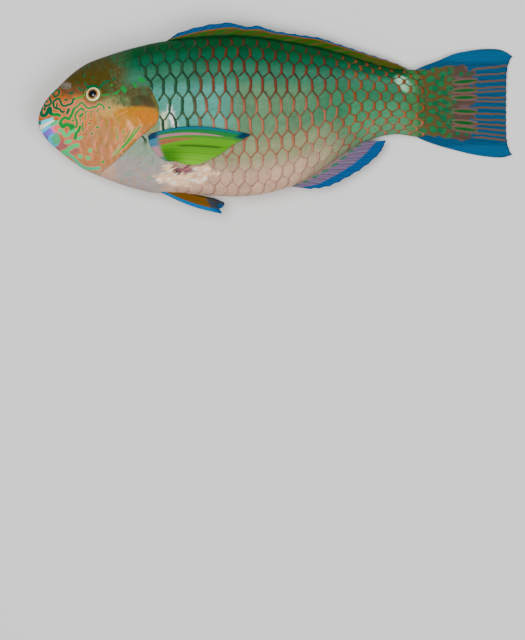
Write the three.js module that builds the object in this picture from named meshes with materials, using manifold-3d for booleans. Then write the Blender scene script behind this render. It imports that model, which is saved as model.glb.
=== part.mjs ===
// A terminal-male rivulated parrotfish, life size, lying on its right flank as a landed fish lies.
// Millimetres. +X runs from snout to tail, +Y from belly to back, +Z up out of the left flank. The floor is z = 0.
import * as THREE from "three";
import { mergeVertices } from "three/addons/utils/BufferGeometryUtils.js";
import Module from "manifold-3d";

const wasm = await Module();
wasm.setup();

// Driving dimensions of the whole fish
const SNOUT_X = -175;
const BODY_END_X = 112;
const BODY_LENGTH = BODY_END_X - SNOUT_X;
const GAP = 0.3;
const LIE_HEIGHT = 23.4; // height of the fish's middle plane where the flank is widest

// The body's outline: [x, back, belly, half width], from the snout's tip to the root of the tail fin
const STATIONS = [
  [-175, -2.5, -2.5, 0],
  [-173.5, 5, -8, 4.5],
  [-170, 12, -14.5, 8],
  [-160, 23, -24, 12.5],
  [-150, 32.5, -32, 16],
  [-140, 39.5, -38.5, 18.5],
  [-125, 45.5, -44.8, 21.5],
  [-105, 51.5, -51.8, 24],
  [-85, 56, -55.8, 25.5],
  [-60, 59, -56.3, 26],
  [-30, 60.3, -58, 26],
  [-15, 59.2, -57, 25.4],
  [10, 55.5, -50.8, 23],
  [30, 51.8, -40.5, 20],
  [50, 46.8, -26.5, 16.2],
  [70, 40.8, -15.5, 12.2],
  [90, 36.2, -11.8, 8.6],
  [106, 35.6, -13.8, 5.6],
  [112, 34.5, -13.5, 3.6],
];
// The middle plane sinks towards the limp tail: [x, height]
const LIE = [
  [-175, LIE_HEIGHT],
  [-12, LIE_HEIGHT],
  [23, 20.2],
  [55, 14.8],
  [84, 10.2],
  [106, 6.9],
  [125, 4],
  [145, 1.9],
  [162, 0.9],
  [176, 0.75],
];
const BACK_ROUNDNESS = 1.2; // above 1 the back is keeled, at 1 it is an ellipse
const BELLY_ROUNDNESS = 1.06;
const FLOOR_BLEND = 1.2; // how softly the flank turns flat where it presses on the floor

// Scales: rows by the share of the half depth, columns by their pitch
const ROW_EDGES = [1, 0.87, 0.71, 0.52, 0.26, 0, -0.26, -0.48, -0.67, -0.85, -1];
const SCALE_PITCH = 9.1;
const FIRST_SCALE_X = -104;
const SCALE_COLUMNS = 23;
const SCALE_RISE = 0.8; // height of a scale's free edge
const SCALE_STEP = 0.9; // length of the drop behind that edge
const SCALE_CORNER = 0.36; // how far ahead of its tip a scale's corners lie, in pitches
const CORNER_LIFT = 0.45; // share of the rise that is left at those corners
const LAST_SCALE_X = 110.5; // scales end here, just ahead of the tail fin's root
const LAST_SCALE_STEP = 0.02; // columns that would run past it are this far apart
const SCALES_FADE_IN = { start: -112, length: 16 }; // over this length the scales rise to full height
const HEAD_COLUMNS = [-174.4, -173, -170.8, -168, -164.5, -160, -155, -149, -143, -137, -130, -123, -117, -112];

// The gill opening in side view, from the nape round the gill cover's edge to the throat
const GILL_LINE = [
  [-106, 64],
  [-103, 45],
  [-96, 28],
  [-89.5, 16],
  [-86, 6],
  [-86.5, -2],
  [-92, -8.5],
  [-100, -15],
  [-108, -23],
  [-118, -32.5],
  [-127, -40],
  [-134, -52],
  [-135, -64],
];
const GILL_STEP = 1.3; // how far the shoulder lies under the gill cover's edge
const GILL_STEP_REACH = 8;
const COVER_FRONT = [
  [-119, -31],
  [-119.5, -10],
  [-117, 4],
  [-108, 12],
  [-91.5, 17.5],
];
const COVER_THICK = 3;
const COVER_REAR = GILL_LINE.slice(3, 10);
const SEAT_REAR = { dx: 6, dy: -3 }; // the seat of the gill cover is cut this far past its hind edge
const SEAT_TOP_X = -112; // behind this the seat's front edge also needs a gap above it

// The mouth in side view: the edges of the two lips run from the front to the corner
const MOUTH_CORNER = [-160, -1.1];
const UPPER_LIP_EDGE = [
  [-179, -7],
  [-173, -5.4],
  [-167, -3],
];
const LOWER_LIP_EDGE = [
  [-179, -11.5],
  [-172, -8.6],
  [-166, -4.6],
];
const LIP_WIDTH = 3.6;
const LIP_RISE = 0.6;
const BEAK_INSET = 0.4;
const BEAK_REACH = 0.74; // share of the mouth in which the beak shows

// Eye, nostrils and the wound behind the breast
const EYE = { x: -134.3, y: 17, radius: 5.9, depth: 3.4, sunk: 1.6, rim: 6.4, rimThick: 0.9 };
const CORNEA = { radius: 3.1, rise: 0.35 };
const NOSTRIL_DEPTH = 4;
const NOSTRILS = [
  [-153.6, 22.8, 0.8],
  [-150, 24.4, 1.1],
];
const WOUND = { x: -69, y: -38.5, length: 8, height: 3.8, depth: 3, turn: -0.25 };
const TRUNK_END_X = 64;
const FIN_CLEARANCE = GAP + 0.05; // fins are cut this far from the body
const BELOW = -20; // a height under the floor and one over the whole fish, for cuts that go right through
const ABOVE = 80;
const OUTSIDE = 200; // a length past the whole fish

const material = (colour, roughness) => new THREE.MeshStandardMaterial({ color: colour, roughness, metalness: 0 });
const SKIN_HEAD = material(0xd98a62, 0.45);
const SKIN_COVER = material(0xe28a3c, 0.45);
const SKIN_SCALES = material(0x3f9b76, 0.42);
const SKIN_STALK = material(0x4fa585, 0.42);
const FIN_BLUE = material(0x2f7fb4, 0.5);
const FIN_GREEN = material(0x55922b, 0.5);
const FIN_VIOLET = material(0x8f86ae, 0.5);
const FIN_OCHRE = material(0xa07438, 0.5);
const BEAK = material(0xd9cbb8, 0.3);
const IRIS = material(0xe3d3a6, 0.15);

// Curves and numbers

// Slopes at each key that keep a curve through the values from overshooting
function makeSlopes(keys, values) {
  const steps = keys.slice(1).map((k, i) => (values[i + 1] - values[i]) / (k - keys[i]));
  return keys.map((_, i) => {
    if (i === 0) return steps[0];
    if (i === keys.length - 1) return steps[i - 1];
    const [before, after] = [steps[i - 1], steps[i]];
    return before * after <= 0 ? 0 : (2 * before * after) / (before + after);
  });
}

// A smooth curve that never overshoots, through rows of [key, value, value...]; column picks the value.
function smoothCurve(rows, column, warp = (x) => x) {
  const keys = rows.map((row) => warp(row[0]));
  const values = rows.map((row) => row[column]);
  const slopes = makeSlopes(keys, values);
  return (x) => {
    const k = Math.min(Math.max(warp(x), keys[0]), keys[keys.length - 1]);
    let i = 0;
    while (i < keys.length - 2 && k > keys[i + 1]) i += 1;
    const span = keys[i + 1] - keys[i];
    const t = (k - keys[i]) / span;
    const [t2, t3] = [t * t, t * t * t];
    return (
      values[i] * (2 * t3 - 3 * t2 + 1) +
      slopes[i] * span * (t3 - 2 * t2 + t) +
      values[i + 1] * (3 * t2 - 2 * t3) +
      slopes[i + 1] * span * (t3 - t2)
    );
  };
}

// The square root spreads the stations near the snout, so that its tip is round.
const fromSnout = (x) => Math.sqrt(Math.max(x - SNOUT_X, 0) / BODY_LENGTH);
const backAt = smoothCurve(STATIONS, 1, fromSnout);
const bellyAt = smoothCurve(STATIONS, 2, fromSnout);
const halfWidthAt = smoothCurve(STATIONS, 3, fromSnout);
const lieAt = smoothCurve(LIE, 1);
const clamp01 = (t) => Math.min(Math.max(t, 0), 1);
const ease = (t) => clamp01(t) ** 2 * (3 - 2 * clamp01(t));
const mix = (a, b, t) => a + (b - a) * t;

const spline = (points) => new THREE.SplineCurve(points.map(([x, y]) => new THREE.Vector2(x, y)));
const GILL_SAMPLES = spline(GILL_LINE).getPoints(60);

function distanceToGill(x, y) {
  return Math.min(...GILL_SAMPLES.map((p) => Math.hypot(p.x - x, p.y - y)));
}

// The body's surface

// The flank's height over the middle plane at (x, y), on either side.
function flankRise(x, y) {
  const middle = (backAt(x) + bellyAt(x)) / 2;
  const half = (backAt(x) - bellyAt(x)) / 2;
  const v = Math.min(Math.abs(y - middle) / Math.max(half, 1e-6), 1);
  const roundness = y > middle ? BACK_ROUNDNESS : BELLY_ROUNDNESS;
  return halfWidthAt(x) * (1 - v * v) ** (roundness / 2);
}

// Heights under the floor are pressed flat on to it.
function pressed(z) {
  if (z >= FLOOR_BLEND) return z;
  return z <= -FLOOR_BLEND ? 0 : (z + FLOOR_BLEND) ** 2 / (4 * FLOOR_BLEND);
}

// A point of the body at length x and share v of the half depth. side is 1 on the left and -1 on the right.
function bodyPoint(x, v, side, grow, dip) {
  const middle = (backAt(x) + bellyAt(x)) / 2;
  const half = (backAt(x) - bellyAt(x)) / 2;
  const y = middle + (half + grow) * v;
  const roundness = v > 0 ? BACK_ROUNDNESS : BELLY_ROUNDNESS;
  const swell = (halfWidthAt(x) + grow) * (1 - v * v) ** (roundness / 2);
  const sunk = dip ? GILL_STEP * Math.exp(-((distanceToGill(x, y) / GILL_STEP_REACH) ** 2)) : 0;
  const z = lieAt(x) + side * Math.max(swell - sunk * (1 - v * v), 0);
  return [x, y, side < 0 ? pressed(z) : z];
}

const LINES_A_SIDE = 2 * (ROW_EDGES.length - 1);
const LINES = 2 * LINES_A_SIDE;

// Line 0 is the back's ridge. The lines run down the left flank to the belly's ridge and up the right one.
function lineOf(index) {
  const down = index <= LINES_A_SIDE ? index : LINES - index;
  const row = Math.floor(down / 2);
  const onEdge = down % 2 === 0;
  const v = onEdge ? ROW_EDGES[row] : (ROW_EDGES[row] + ROW_EDGES[row + 1]) / 2;
  return { v, row, onEdge, side: index <= LINES_A_SIDE ? 1 : -1 };
}

// Where the k-th vertex of a line lies in the scaled part, and how far a scale lifts it.
// Rows are set half a pitch apart.
function scaleVertex(k, line) {
  const whole = FIRST_SCALE_X + (k / 2) * SCALE_PITCH;
  if (line.onEdge) return { x: whole - SCALE_CORNER * SCALE_PITCH, lift: CORNER_LIFT, tip: false };
  if (k % 2 === line.row % 2) return { x: whole, lift: 1, tip: true };
  return { x: whole - SCALE_PITCH / 2 + SCALE_STEP, lift: 0, tip: false };
}

// Scales flatten towards the gills and towards the ridges of back and belly.
function liftFade(x, v) {
  return ease((x - SCALES_FADE_IN.start) / SCALES_FADE_IN.length) * (1 - v ** 6);
}

// The whole body as one closed mesh: head rings without relief, then scales, then a cap at the tail's root.
function bodyGeometry(grow = 0, dip = false) {
  const columns = HEAD_COLUMNS.length + 2 * SCALE_COLUMNS + 1;
  const positions = [SNOUT_X - grow, bodyPoint(SNOUT_X, 0, 1, 0, false)[1], LIE_HEIGHT];
  const tips = [];
  for (let column = 0; column < columns; column += 1) {
    for (let i = 0; i < LINES; i += 1) {
      const line = lineOf(i);
      const k = column - HEAD_COLUMNS.length;
      let [x, lift] = [HEAD_COLUMNS[column], 0];
      if (k >= 0) {
        const vertex = scaleVertex(k, line);
        const last = column === columns - 1;
        x = last ? BODY_END_X : Math.min(vertex.x, LAST_SCALE_X + LAST_SCALE_STEP * k);
        lift = last ? 0 : SCALE_RISE * vertex.lift * liftFade(x, line.v);
        if (vertex.tip) tips.push(column * LINES + i);
      }
      const [px, py, pz] = bodyPoint(x, line.v, line.side, grow + lift, dip);
      positions.push(column === columns - 1 ? px + grow : px, py, pz);
    }
  }
  const middleEnd = (backAt(BODY_END_X) + bellyAt(BODY_END_X)) / 2;
  positions.push(BODY_END_X + grow, middleEnd, lieAt(BODY_END_X));
  const tipSet = new Set(tips);
  const at = (column, i) => 1 + column * LINES + (i % LINES);
  const index = [];
  for (let i = 0; i < LINES; i += 1) index.push(0, at(0, i), at(0, i + 1));
  for (let column = 0; column < columns - 1; column += 1) {
    for (let i = 0; i < LINES; i += 1) {
      const [a, b, c, d] = [at(column, i), at(column + 1, i), at(column + 1, i + 1), at(column, i + 1)];
      const centreFirst = i % 2 === 1;
      const startsAtTip = tipSet.has((centreFirst ? a : d) - 1);
      if (centreFirst === startsAtTip) index.push(a, b, d, b, c, d);
      else index.push(a, b, c, a, c, d);
    }
  }
  const end = positions.length / 3 - 1;
  for (let i = 0; i < LINES; i += 1) index.push(at(columns - 1, i), end, at(columns - 1, i + 1));
  return indexed(positions, index);
}

// Solids

function indexed(positions, index) {
  const geometry = new THREE.BufferGeometry();
  geometry.setAttribute("position", new THREE.Float32BufferAttribute(positions, 3));
  geometry.setIndex(index);
  return geometry;
}

// A closed geometry as a solid, turned the right way out if its faces point in
function solidOf(geometry) {
  const bare = geometry.clone();
  bare.deleteAttribute("normal");
  bare.deleteAttribute("uv");
  const merged = mergeVertices(bare, 1e-4);
  const vertProperties = new Float32Array(merged.attributes.position.array);
  const solidFrom = (triVerts) => new wasm.Manifold(new wasm.Mesh({ numProp: 3, vertProperties, triVerts }));
  const triangles = new Uint32Array(merged.index.array);
  const solid = solidFrom(triangles);
  return solid.volume() >= 0 ? solid : solidFrom(triangles.reverse());
}

// A node keeps only its largest closed surface.
const largest = (solid) => solid.decompose().reduce((a, b) => (b.volume() > a.volume() ? b : a));

function namedMesh(name, solid, finish) {
  const mesh = largest(solid).getMesh();
  const positions = [];
  for (let i = 0; i < mesh.numVert; i += 1) {
    positions.push(...mesh.vertProperties.subarray(i * mesh.numProp, i * mesh.numProp + 3));
  }
  const made = new THREE.Mesh(indexed(positions, Array.from(mesh.triVerts)), finish);
  made.geometry.computeVertexNormals();
  made.name = name;
  return made;
}

// A closed outline in side view, drawn right through the fish or over part of its thickness.
function prism(points, low = BELOW, high = ABOVE) {
  const shape = new THREE.Shape(points.map(([x, y]) => new THREE.Vector2(x, y)));
  const geometry = new THREE.ExtrudeGeometry(shape, { depth: high - low, bevelEnabled: false });
  return solidOf(geometry.translate(0, 0, low));
}

const pairs = (curve, count) => curve.getPoints(count).map((p) => [p.x, p.y]);

const shifted = (points, dx, dy) => points.map(([x, y]) => [x + dx, y + dy]);

// Fins

// A membrane with its rays raised as ridges on both faces. place(u, t, onRay) gives a point of its middle surface: u
// runs across the rays from 0 to 1 and t along each ray from root to tip. thick(t) gives membrane and ray thickness.
function finGeometry({ rays, steps, place, thick }) {
  const across = 2 * rays - 2;
  const [top, bottom, index] = [[], [], []];
  for (let i = 0; i <= across; i += 1) {
    for (let j = 0; j <= steps; j += 1) {
      const t = j / steps;
      const [x, y, z] = place(i / across, t, i % 2 === 0);
      const { membrane, ray } = thick(t);
      const half = (i % 2 === 0 ? ray : membrane) / 2;
      top.push(x, y, z + half);
      bottom.push(x, y, z - half);
    }
  }
  const row = steps + 1;
  const under = (across + 1) * row;
  for (let i = 0; i < across; i += 1) {
    for (let j = 0; j < steps; j += 1) {
      const [a, b, c, d] = [i * row + j, (i + 1) * row + j, (i + 1) * row + j + 1, i * row + j + 1];
      index.push(a, b, c, a, c, d);
      index.push(under + a, under + c, under + b, under + a, under + d, under + c);
    }
  }
  const wall = (q, p) => index.push(p, under + q, q, p, under + p, under + q);
  for (let i = 0; i < across; i += 1) {
    wall((i + 1) * row, i * row);
    wall(i * row + steps, (i + 1) * row + steps);
  }
  for (let j = 0; j < steps; j += 1) {
    wall(j, j + 1);
    wall(across * row + j + 1, across * row + j);
  }
  return indexed([...top, ...bottom], index);
}

const onCurve = (curve, t) => {
  const p = curve.getPoint(clamp01(t));
  return [p.x, p.y];
};
const between = (p, q, t) => [mix(p[0], q[0], t), mix(p[1], q[1], t)];

// The thickness of a fin that thins out evenly, each pair of sizes being [at the root, at the tip]
const tapered = (membrane, ray) => (t) => ({ membrane: mix(...membrane, t), ray: mix(...ray, t) });

// Dorsal fin: nine spines and ten soft rays, folded back along the ridge
const DORSAL = {
  rays: 19,
  start: -84,
  end: 84,
  steps: 5,
  root: 3, // depth of the roots in the back
  lean: [12, 24, 20, 14], // how far each tip lies behind its root, from first to last
  dip: 0.9, // how far the edge draws in between two rays
  wave: 1.5, // how far the edge sways to either side
  membrane: [1.7, 0.5],
  ray: [2.6, 0.9],
  edge: [
    [-84, 56.2],
    [-72, 62.7],
    [-60, 66.6],
    [-46, 69.5],
    [-33.7, 70.5],
    [-21.9, 67.6],
    [-13, 68.2],
    [-3, 64.9],
    [19, 61.4],
    [31, 59.8],
    [43, 56],
    [66, 48.4],
    [90, 40.3],
    [99, 36],
  ],
};

function dorsalFin() {
  const edge = smoothCurve(DORSAL.edge, 1);
  const lean = smoothCurve(DORSAL.lean.map((d, i) => [i / (DORSAL.lean.length - 1), d]), 1);
  const place = (u, t, onRay) => {
    const rootX = mix(DORSAL.start, DORSAL.end, u);
    const tipX = rootX + lean(u);
    const tipY = Math.max(edge(tipX), backAt(tipX) - 0.5) - (onRay ? 0 : DORSAL.dip * t);
    const [x, y] = between([rootX, backAt(rootX) - DORSAL.root], [tipX, tipY], t);
    return [x, y, lieAt(x) + DORSAL.wave * t * Math.sin(u * 9)];
  };
  const thick = tapered(DORSAL.membrane, DORSAL.ray);
  return solidOf(finGeometry({ rays: DORSAL.rays, steps: DORSAL.steps, place, thick }));
}

// Anal fin: three spines and nine soft rays, folded back
const ANAL = {
  rays: 12,
  start: 7,
  end: 59,
  steps: 5,
  root: 3,
  rise: 0.5, // how far a ray's tip stands out of the edge
  droop: 1.2, // how far the edge sinks towards the floor
  membrane: [1.6, 0.5],
  ray: [2.3, 0.9],
  edge: [
    [26, -52.2],
    [38.7, -50.4],
    [51.7, -44.3],
    [65.2, -36],
    [76, -26.5],
    [79.8, -20],
    [81.5, -16.2],
  ],
};

function analFin() {
  const edge = spline(ANAL.edge);
  const place = (u, t, onRay) => {
    const rootX = mix(ANAL.start, ANAL.end, u);
    const [x, y] = between([rootX, bellyAt(rootX) + ANAL.root], onCurve(edge, u), t);
    return [x, y - (onRay ? ANAL.rise * t : 0), lieAt(x) - ANAL.droop * t];
  };
  const thick = tapered(ANAL.membrane, ANAL.ray);
  return solidOf(finGeometry({ rays: ANAL.rays, steps: ANAL.steps, place, thick }));
}

// Tail fin: fifteen rays between a long upper and a long lower margin, its lobes drawn out to short tips
const TAIL = {
  rays: 15,
  steps: 9,
  upper: [
    [98, 33],
    [107.7, 38],
    [119.5, 42.5],
    [131.3, 47.5],
    [143, 50],
    [154.8, 51.3],
    [166.5, 50.6],
    [175, 46],
  ],
  lower: [
    [98, -10],
    [108, -15.6],
    [119.5, -19.8],
    [131, -23],
    [143, -26],
    [154.8, -28],
    [166.5, -28.8],
    [174.8, -26.8],
  ],
  hollow: 4.4, // how far the hind margin is cut in between the lobes
  hollowPower: 6,
  dip: 0.4,
  ripple: 0.5,
  fleshy: 0.3, // share of the length over which the thick root thins out
  membrane: [5.6, 0.9],
  ray: [6.6, 1.6],
  thinning: 0.62, // what is left of the thickness at the hind edge
};

function tailFin() {
  const upper = spline(TAIL.upper);
  const lower = spline(TAIL.lower);
  const place = (u, t, onRay) => {
    const [x, y] = between(onCurve(upper, t), onCurve(lower, t), u);
    const hollow = TAIL.hollow * (1 - Math.abs(2 * u - 1) ** TAIL.hollowPower) + (onRay ? 0 : TAIL.dip);
    const hindX = x - hollow * t ** 2;
    return [hindX, y, lieAt(hindX) + TAIL.ripple * (1 + Math.sin(7 * u)) * ease(t)];
  };
  const thick = (t) => {
    const out = ease(t / TAIL.fleshy);
    const left = mix(1, TAIL.thinning, t);
    return { membrane: mix(...TAIL.membrane, out) * left, ray: mix(...TAIL.ray, out) * left };
  };
  return solidOf(finGeometry({ rays: TAIL.rays, steps: TAIL.steps, place, thick }));
}

// Pectoral fins: fourteen rays from a fleshy lobe
const PECTORAL = {
  rays: 14,
  root: [
    [-93.5, -13.4],
    [-92.5, -19],
    [-88.5, -25.5],
    [-82.5, -30.5],
    [-76, -31],
  ],
  tips: [
    [-18.2, -12.9],
    [-23, -15.6],
    [-31.7, -20.4],
    [-39.4, -26.2],
    [-49.7, -31.6],
    [-58, -34.6],
    [-66, -34.6],
  ],
  steps: 8,
  arch: 6.2, // rise of the first ray over a straight line
  lift: 1.6, // height over the scales
  tipLift: 0.8, // how much higher the tips stand
  rootSink: 1.9, // how much lower the lobe sits, against the skin
  lobe: 0.24, // share of the length that is fleshy
  membrane: [3, 0.6],
  ray: [3.2, 1.1],
  thinning: 0.75,
};

function pectoralPlan(u, t) {
  const [x, y] = between(onCurve(spline(PECTORAL.root), u), onCurve(spline(PECTORAL.tips), u), t);
  return [x, y + PECTORAL.arch * (1 - u) ** 2 * Math.sin(Math.PI * t ** 0.85)];
}

function leftPectoral() {
  const place = (u, t) => {
    const [x, y] = pectoralPlan(u, t);
    const stand = PECTORAL.lift + PECTORAL.tipLift * t - PECTORAL.rootSink * (1 - ease(t / PECTORAL.lobe));
    return [x, y, lieAt(x) + flankRise(x, y) + stand];
  };
  const thick = (t) => {
    const out = ease(t / PECTORAL.lobe);
    const ray = mix(...PECTORAL.ray, out) * mix(1, PECTORAL.thinning, t);
    return { membrane: mix(...PECTORAL.membrane, out), ray };
  };
  return solidOf(finGeometry({ rays: PECTORAL.rays, steps: PECTORAL.steps, place, thick }));
}

// The right pectoral fin is pressed flat between the flank and the floor, in a pocket of the flank.
const PRESSED_FIN = { steps: 7, membrane: 0.6, ray: 1, clearance: 1, middle: [-60, -17] };

function rightPectoral() {
  const half = PRESSED_FIN.ray / 2;
  const place = (u, t) => [...pectoralPlan(u, t), half];
  const plate = finGeometry({ rays: PECTORAL.rays, steps: PRESSED_FIN.steps, place, thick: () => PRESSED_FIN });
  const position = plate.attributes.position;
  for (let i = 0; i < position.count; i += 1) {
    if (position.getZ(i) < half) position.setZ(i, 0);
  }
  return solidOf(plate);
}

function pressedFinPocket() {
  const sides = 8;
  const outline = [];
  for (let i = 0; i < sides; i += 1) outline.push(pectoralPlan(0, i / sides));
  for (let i = 0; i < sides; i += 1) outline.push(pectoralPlan(i / sides, 1));
  for (let i = sides; i > 0; i -= 1) outline.push(pectoralPlan(1, i / sides));
  for (let i = sides; i > 0; i -= 1) outline.push(pectoralPlan(i / sides, 0));
  const [middleX, middleY] = PRESSED_FIN.middle;
  const grown = outline.map(([x, y]) => {
    const share = PRESSED_FIN.clearance / Math.hypot(x - middleX, y - middleY);
    return [x + (x - middleX) * share, y + (y - middleY) * share];
  });
  return prism(grown.reverse(), BELOW, PRESSED_FIN.ray + GAP);
}

// Pelvic fins: a spine and five rays each
const PELVIC = {
  rays: 6,
  steps: 6,
  dip: 0.5,
  bow: 2.4, // how far the leading edge bends out
  membrane: [1.5, 0.6],
  ray: [2.2, 1],
  roots: [
    [-86, -53.5],
    [-78, -53],
  ],
  left: { tips: [[-38.9, -70.6], [-42, -65.5], [-46, -60.5]], rise: 4.6, droop: -3.5 },
  right: { tips: [[-39.5, -66.5], [-37.5, -62.6], [-44, -59.4]], rise: -4.6, droop: -5 },
};

function pelvicFin({ tips, rise, droop }) {
  const edge = spline(tips);
  const place = (u, t, onRay) => {
    const [x, y] = between(between(...PELVIC.roots, u), onCurve(edge, u), t);
    const bow = PELVIC.bow * Math.sin(Math.PI * t) * (1 - u);
    return [x - (onRay ? 0 : PELVIC.dip * t), y - bow, lieAt(x) + rise + droop * t];
  };
  const thick = tapered(PELVIC.membrane, PELVIC.ray);
  return solidOf(finGeometry({ rays: PELVIC.rays, steps: PELVIC.steps, place, thick }));
}

// Eyes

// A frame with its Z axis out of the head at the eye, on the side asked for.
function eyeFrame(side) {
  const step = 0.5;
  const slopeX = (flankRise(EYE.x + step, EYE.y) - flankRise(EYE.x - step, EYE.y)) / (2 * step);
  const slopeY = (flankRise(EYE.x, EYE.y + step) - flankRise(EYE.x, EYE.y - step)) / (2 * step);
  const normal = new THREE.Vector3(-slopeX, -slopeY, side).normalize();
  const turn = new THREE.Quaternion().setFromUnitVectors(new THREE.Vector3(0, 0, 1), normal);
  const place = new THREE.Vector3(EYE.x, EYE.y, lieAt(EYE.x) + side * flankRise(EYE.x, EYE.y));
  return new THREE.Matrix4().compose(place, turn, new THREE.Vector3(1, 1, 1));
}

// A flattened ball whose front stands a little out of the skin, with the cornea raised over the pupil.
function eyeball(side, grow = 0) {
  const [arcs, around] = [14, 20];
  const profile = [];
  for (let i = 0; i <= arcs; i += 1) {
    const a = -Math.PI / 2 + (i / arcs) * Math.PI;
    const r = i === 0 || i === arcs ? 0 : (EYE.radius + grow) * Math.cos(a);
    const cornea = a > 0 && r < CORNEA.radius ? CORNEA.rise : 0;
    profile.push(new THREE.Vector2(r, (EYE.depth + grow) * Math.sin(a) - EYE.sunk + cornea));
  }
  const ball = new THREE.LatheGeometry(profile, around).rotateX(Math.PI / 2);
  return solidOf(ball.applyMatrix4(eyeFrame(side)));
}

function eyeRim(side) {
  const ring = new THREE.TorusGeometry(EYE.rim, EYE.rimThick, 6, 20);
  return solidOf(ring.applyMatrix4(eyeFrame(side)));
}

function nostrilPit([x, y, radius], side) {
  const pit = new THREE.CylinderGeometry(radius, radius * 0.6, NOSTRIL_DEPTH, 8).rotateX(Math.PI / 2);
  if (side < 0) pit.rotateX(Math.PI);
  return solidOf(pit.translate(x, y, lieAt(x) + side * flankRise(x, y)));
}

// Body parts

const body = solidOf(bodyGeometry());
const shoulderBody = solidOf(bodyGeometry(0, true));
const bodyWithGap = solidOf(bodyGeometry(FIN_CLEARANCE));

// All that lies ahead of a line from nape to throat
function aheadOf(line) {
  return prism([...line, [-OUTSIDE, -OUTSIDE], [-OUTSIDE, OUTSIDE]].reverse());
}

const coverRear = pairs(spline(COVER_REAR), 24);
const coverFront = pairs(spline(COVER_FRONT), 12);

const gillLine = pairs(spline(GILL_LINE), 48);
const headShape = body.intersect(aheadOf(gillLine));
const coreUnderCover = solidOf(bodyGeometry(-COVER_THICK));
const coreWithGap = solidOf(bodyGeometry(-COVER_THICK - GAP));

function gillCover(side) {
  const [low, high] = side > 0 ? [LIE_HEIGHT, ABOVE] : [BELOW, LIE_HEIGHT];
  return headShape.intersect(prism([...coverRear, ...coverFront].reverse(), low, high)).subtract(coreUnderCover);
}

// The recess of the head that a gill cover lies in
function coverSeat() {
  const front = coverFront.map(([x, y]) => [x - GAP, y + (x > SEAT_TOP_X ? GAP : 0)]);
  const corner = [front[0][0], front[0][1] + SEAT_REAR.dy];
  const rear = shifted(coverRear, SEAT_REAR.dx, SEAT_REAR.dy);
  return prism([...rear, corner, ...front].reverse()).subtract(coreWithGap);
}

function mouthSlot() {
  const upper = pairs(spline([...UPPER_LIP_EDGE, MOUTH_CORNER]), 12);
  const lower = pairs(spline([...LOWER_LIP_EDGE, MOUTH_CORNER]), 12);
  return [...upper, ...lower.slice(0, -1).reverse()];
}

function lipBand() {
  const upper = pairs(spline(shifted([...UPPER_LIP_EDGE, MOUTH_CORNER], 0, LIP_WIDTH)), 12);
  const lower = pairs(spline(shifted([...LOWER_LIP_EDGE, MOUTH_CORNER], 0, -LIP_WIDTH)), 12);
  return [...upper, [MOUTH_CORNER[0] + 2, MOUTH_CORNER[1]], ...lower.reverse()];
}

// The beak's two plates fill the slot between the lips and meet along its middle line.
function beakPlate(upperHalf) {
  const edge = spline([...(upperHalf ? UPPER_LIP_EDGE : LOWER_LIP_EDGE), MOUTH_CORNER]);
  const other = spline([...(upperHalf ? LOWER_LIP_EDGE : UPPER_LIP_EDGE), MOUTH_CORNER]);
  const sign = upperHalf ? 1 : -1;
  const [outer, inner] = [[], []];
  const steps = 10;
  for (let i = 0; i <= steps; i += 1) {
    const t = (i / steps) * BEAK_REACH;
    const [a, b] = [onCurve(edge, t), onCurve(other, t)];
    outer.push([a[0], a[1] - sign * GAP]);
    const [x, y] = between(a, b, 0.5);
    inner.push([x, y + sign * (GAP / 2)]);
  }
  const outline = [...outer, ...inner.reverse()];
  const inset = solidOf(bodyGeometry(-BEAK_INSET));
  return inset.intersect(prism(upperHalf ? outline.reverse() : outline));
}

function head() {
  const lips = solidOf(bodyGeometry(LIP_RISE)).intersect(prism(lipBand().reverse()));
  let made = headShape.add(lips).add(eyeRim(1)).add(eyeRim(-1)).intersect(aheadOf(gillLine));
  for (const side of [1, -1]) {
    made = made.subtract(eyeball(side, GAP));
    for (const nostril of NOSTRILS) made = made.subtract(nostrilPit(nostril, side));
  }
  return made.subtract(prism(mouthSlot().reverse())).subtract(coverSeat());
}

function woundPit() {
  const pit = new THREE.SphereGeometry(1, 10, 6).scale(WOUND.length, WOUND.height, WOUND.depth);
  return solidOf(pit.rotateZ(WOUND.turn).translate(WOUND.x, WOUND.y, lieAt(WOUND.x) + flankRise(WOUND.x, WOUND.y)));
}

const behind = (x) => prism([[x, -OUTSIDE], [OUTSIDE, -OUTSIDE], [OUTSIDE, OUTSIDE], [x, OUTSIDE]]);

function trunk() {
  return shoulderBody
    .subtract(aheadOf(shifted(gillLine, GAP, 0)))
    .subtract(behind(TRUNK_END_X - GAP))
    .subtract(woundPit())
    .subtract(pressedFinPocket());
}

const fish = new THREE.Group();
fish.add(
  namedMesh("head", head(), SKIN_HEAD),
  namedMesh("gill_cover_left", gillCover(1), SKIN_COVER),
  namedMesh("gill_cover_right", gillCover(-1), SKIN_COVER),
  namedMesh("beak_upper", beakPlate(true), BEAK),
  namedMesh("beak_lower", beakPlate(false), BEAK),
  namedMesh("eye_left", eyeball(1), IRIS),
  namedMesh("eye_right", eyeball(-1), IRIS),
  namedMesh("trunk", trunk(), SKIN_SCALES),
  namedMesh("tail_stalk", body.intersect(behind(TRUNK_END_X)), SKIN_STALK),
  namedMesh("fin_dorsal", dorsalFin().subtract(bodyWithGap), FIN_BLUE),
  namedMesh("fin_anal", analFin().subtract(bodyWithGap), FIN_VIOLET),
  namedMesh("fin_tail", tailFin().subtract(bodyWithGap), FIN_BLUE),
  namedMesh("fin_pectoral_left", leftPectoral().subtract(bodyWithGap), FIN_GREEN),
  namedMesh("fin_pectoral_right", rightPectoral(), FIN_GREEN),
  namedMesh("fin_pelvic_left", pelvicFin(PELVIC.left).subtract(bodyWithGap), FIN_OCHRE),
  namedMesh("fin_pelvic_right", pelvicFin(PELVIC.right).subtract(bodyWithGap), FIN_OCHRE),
);

export default fish;
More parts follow.
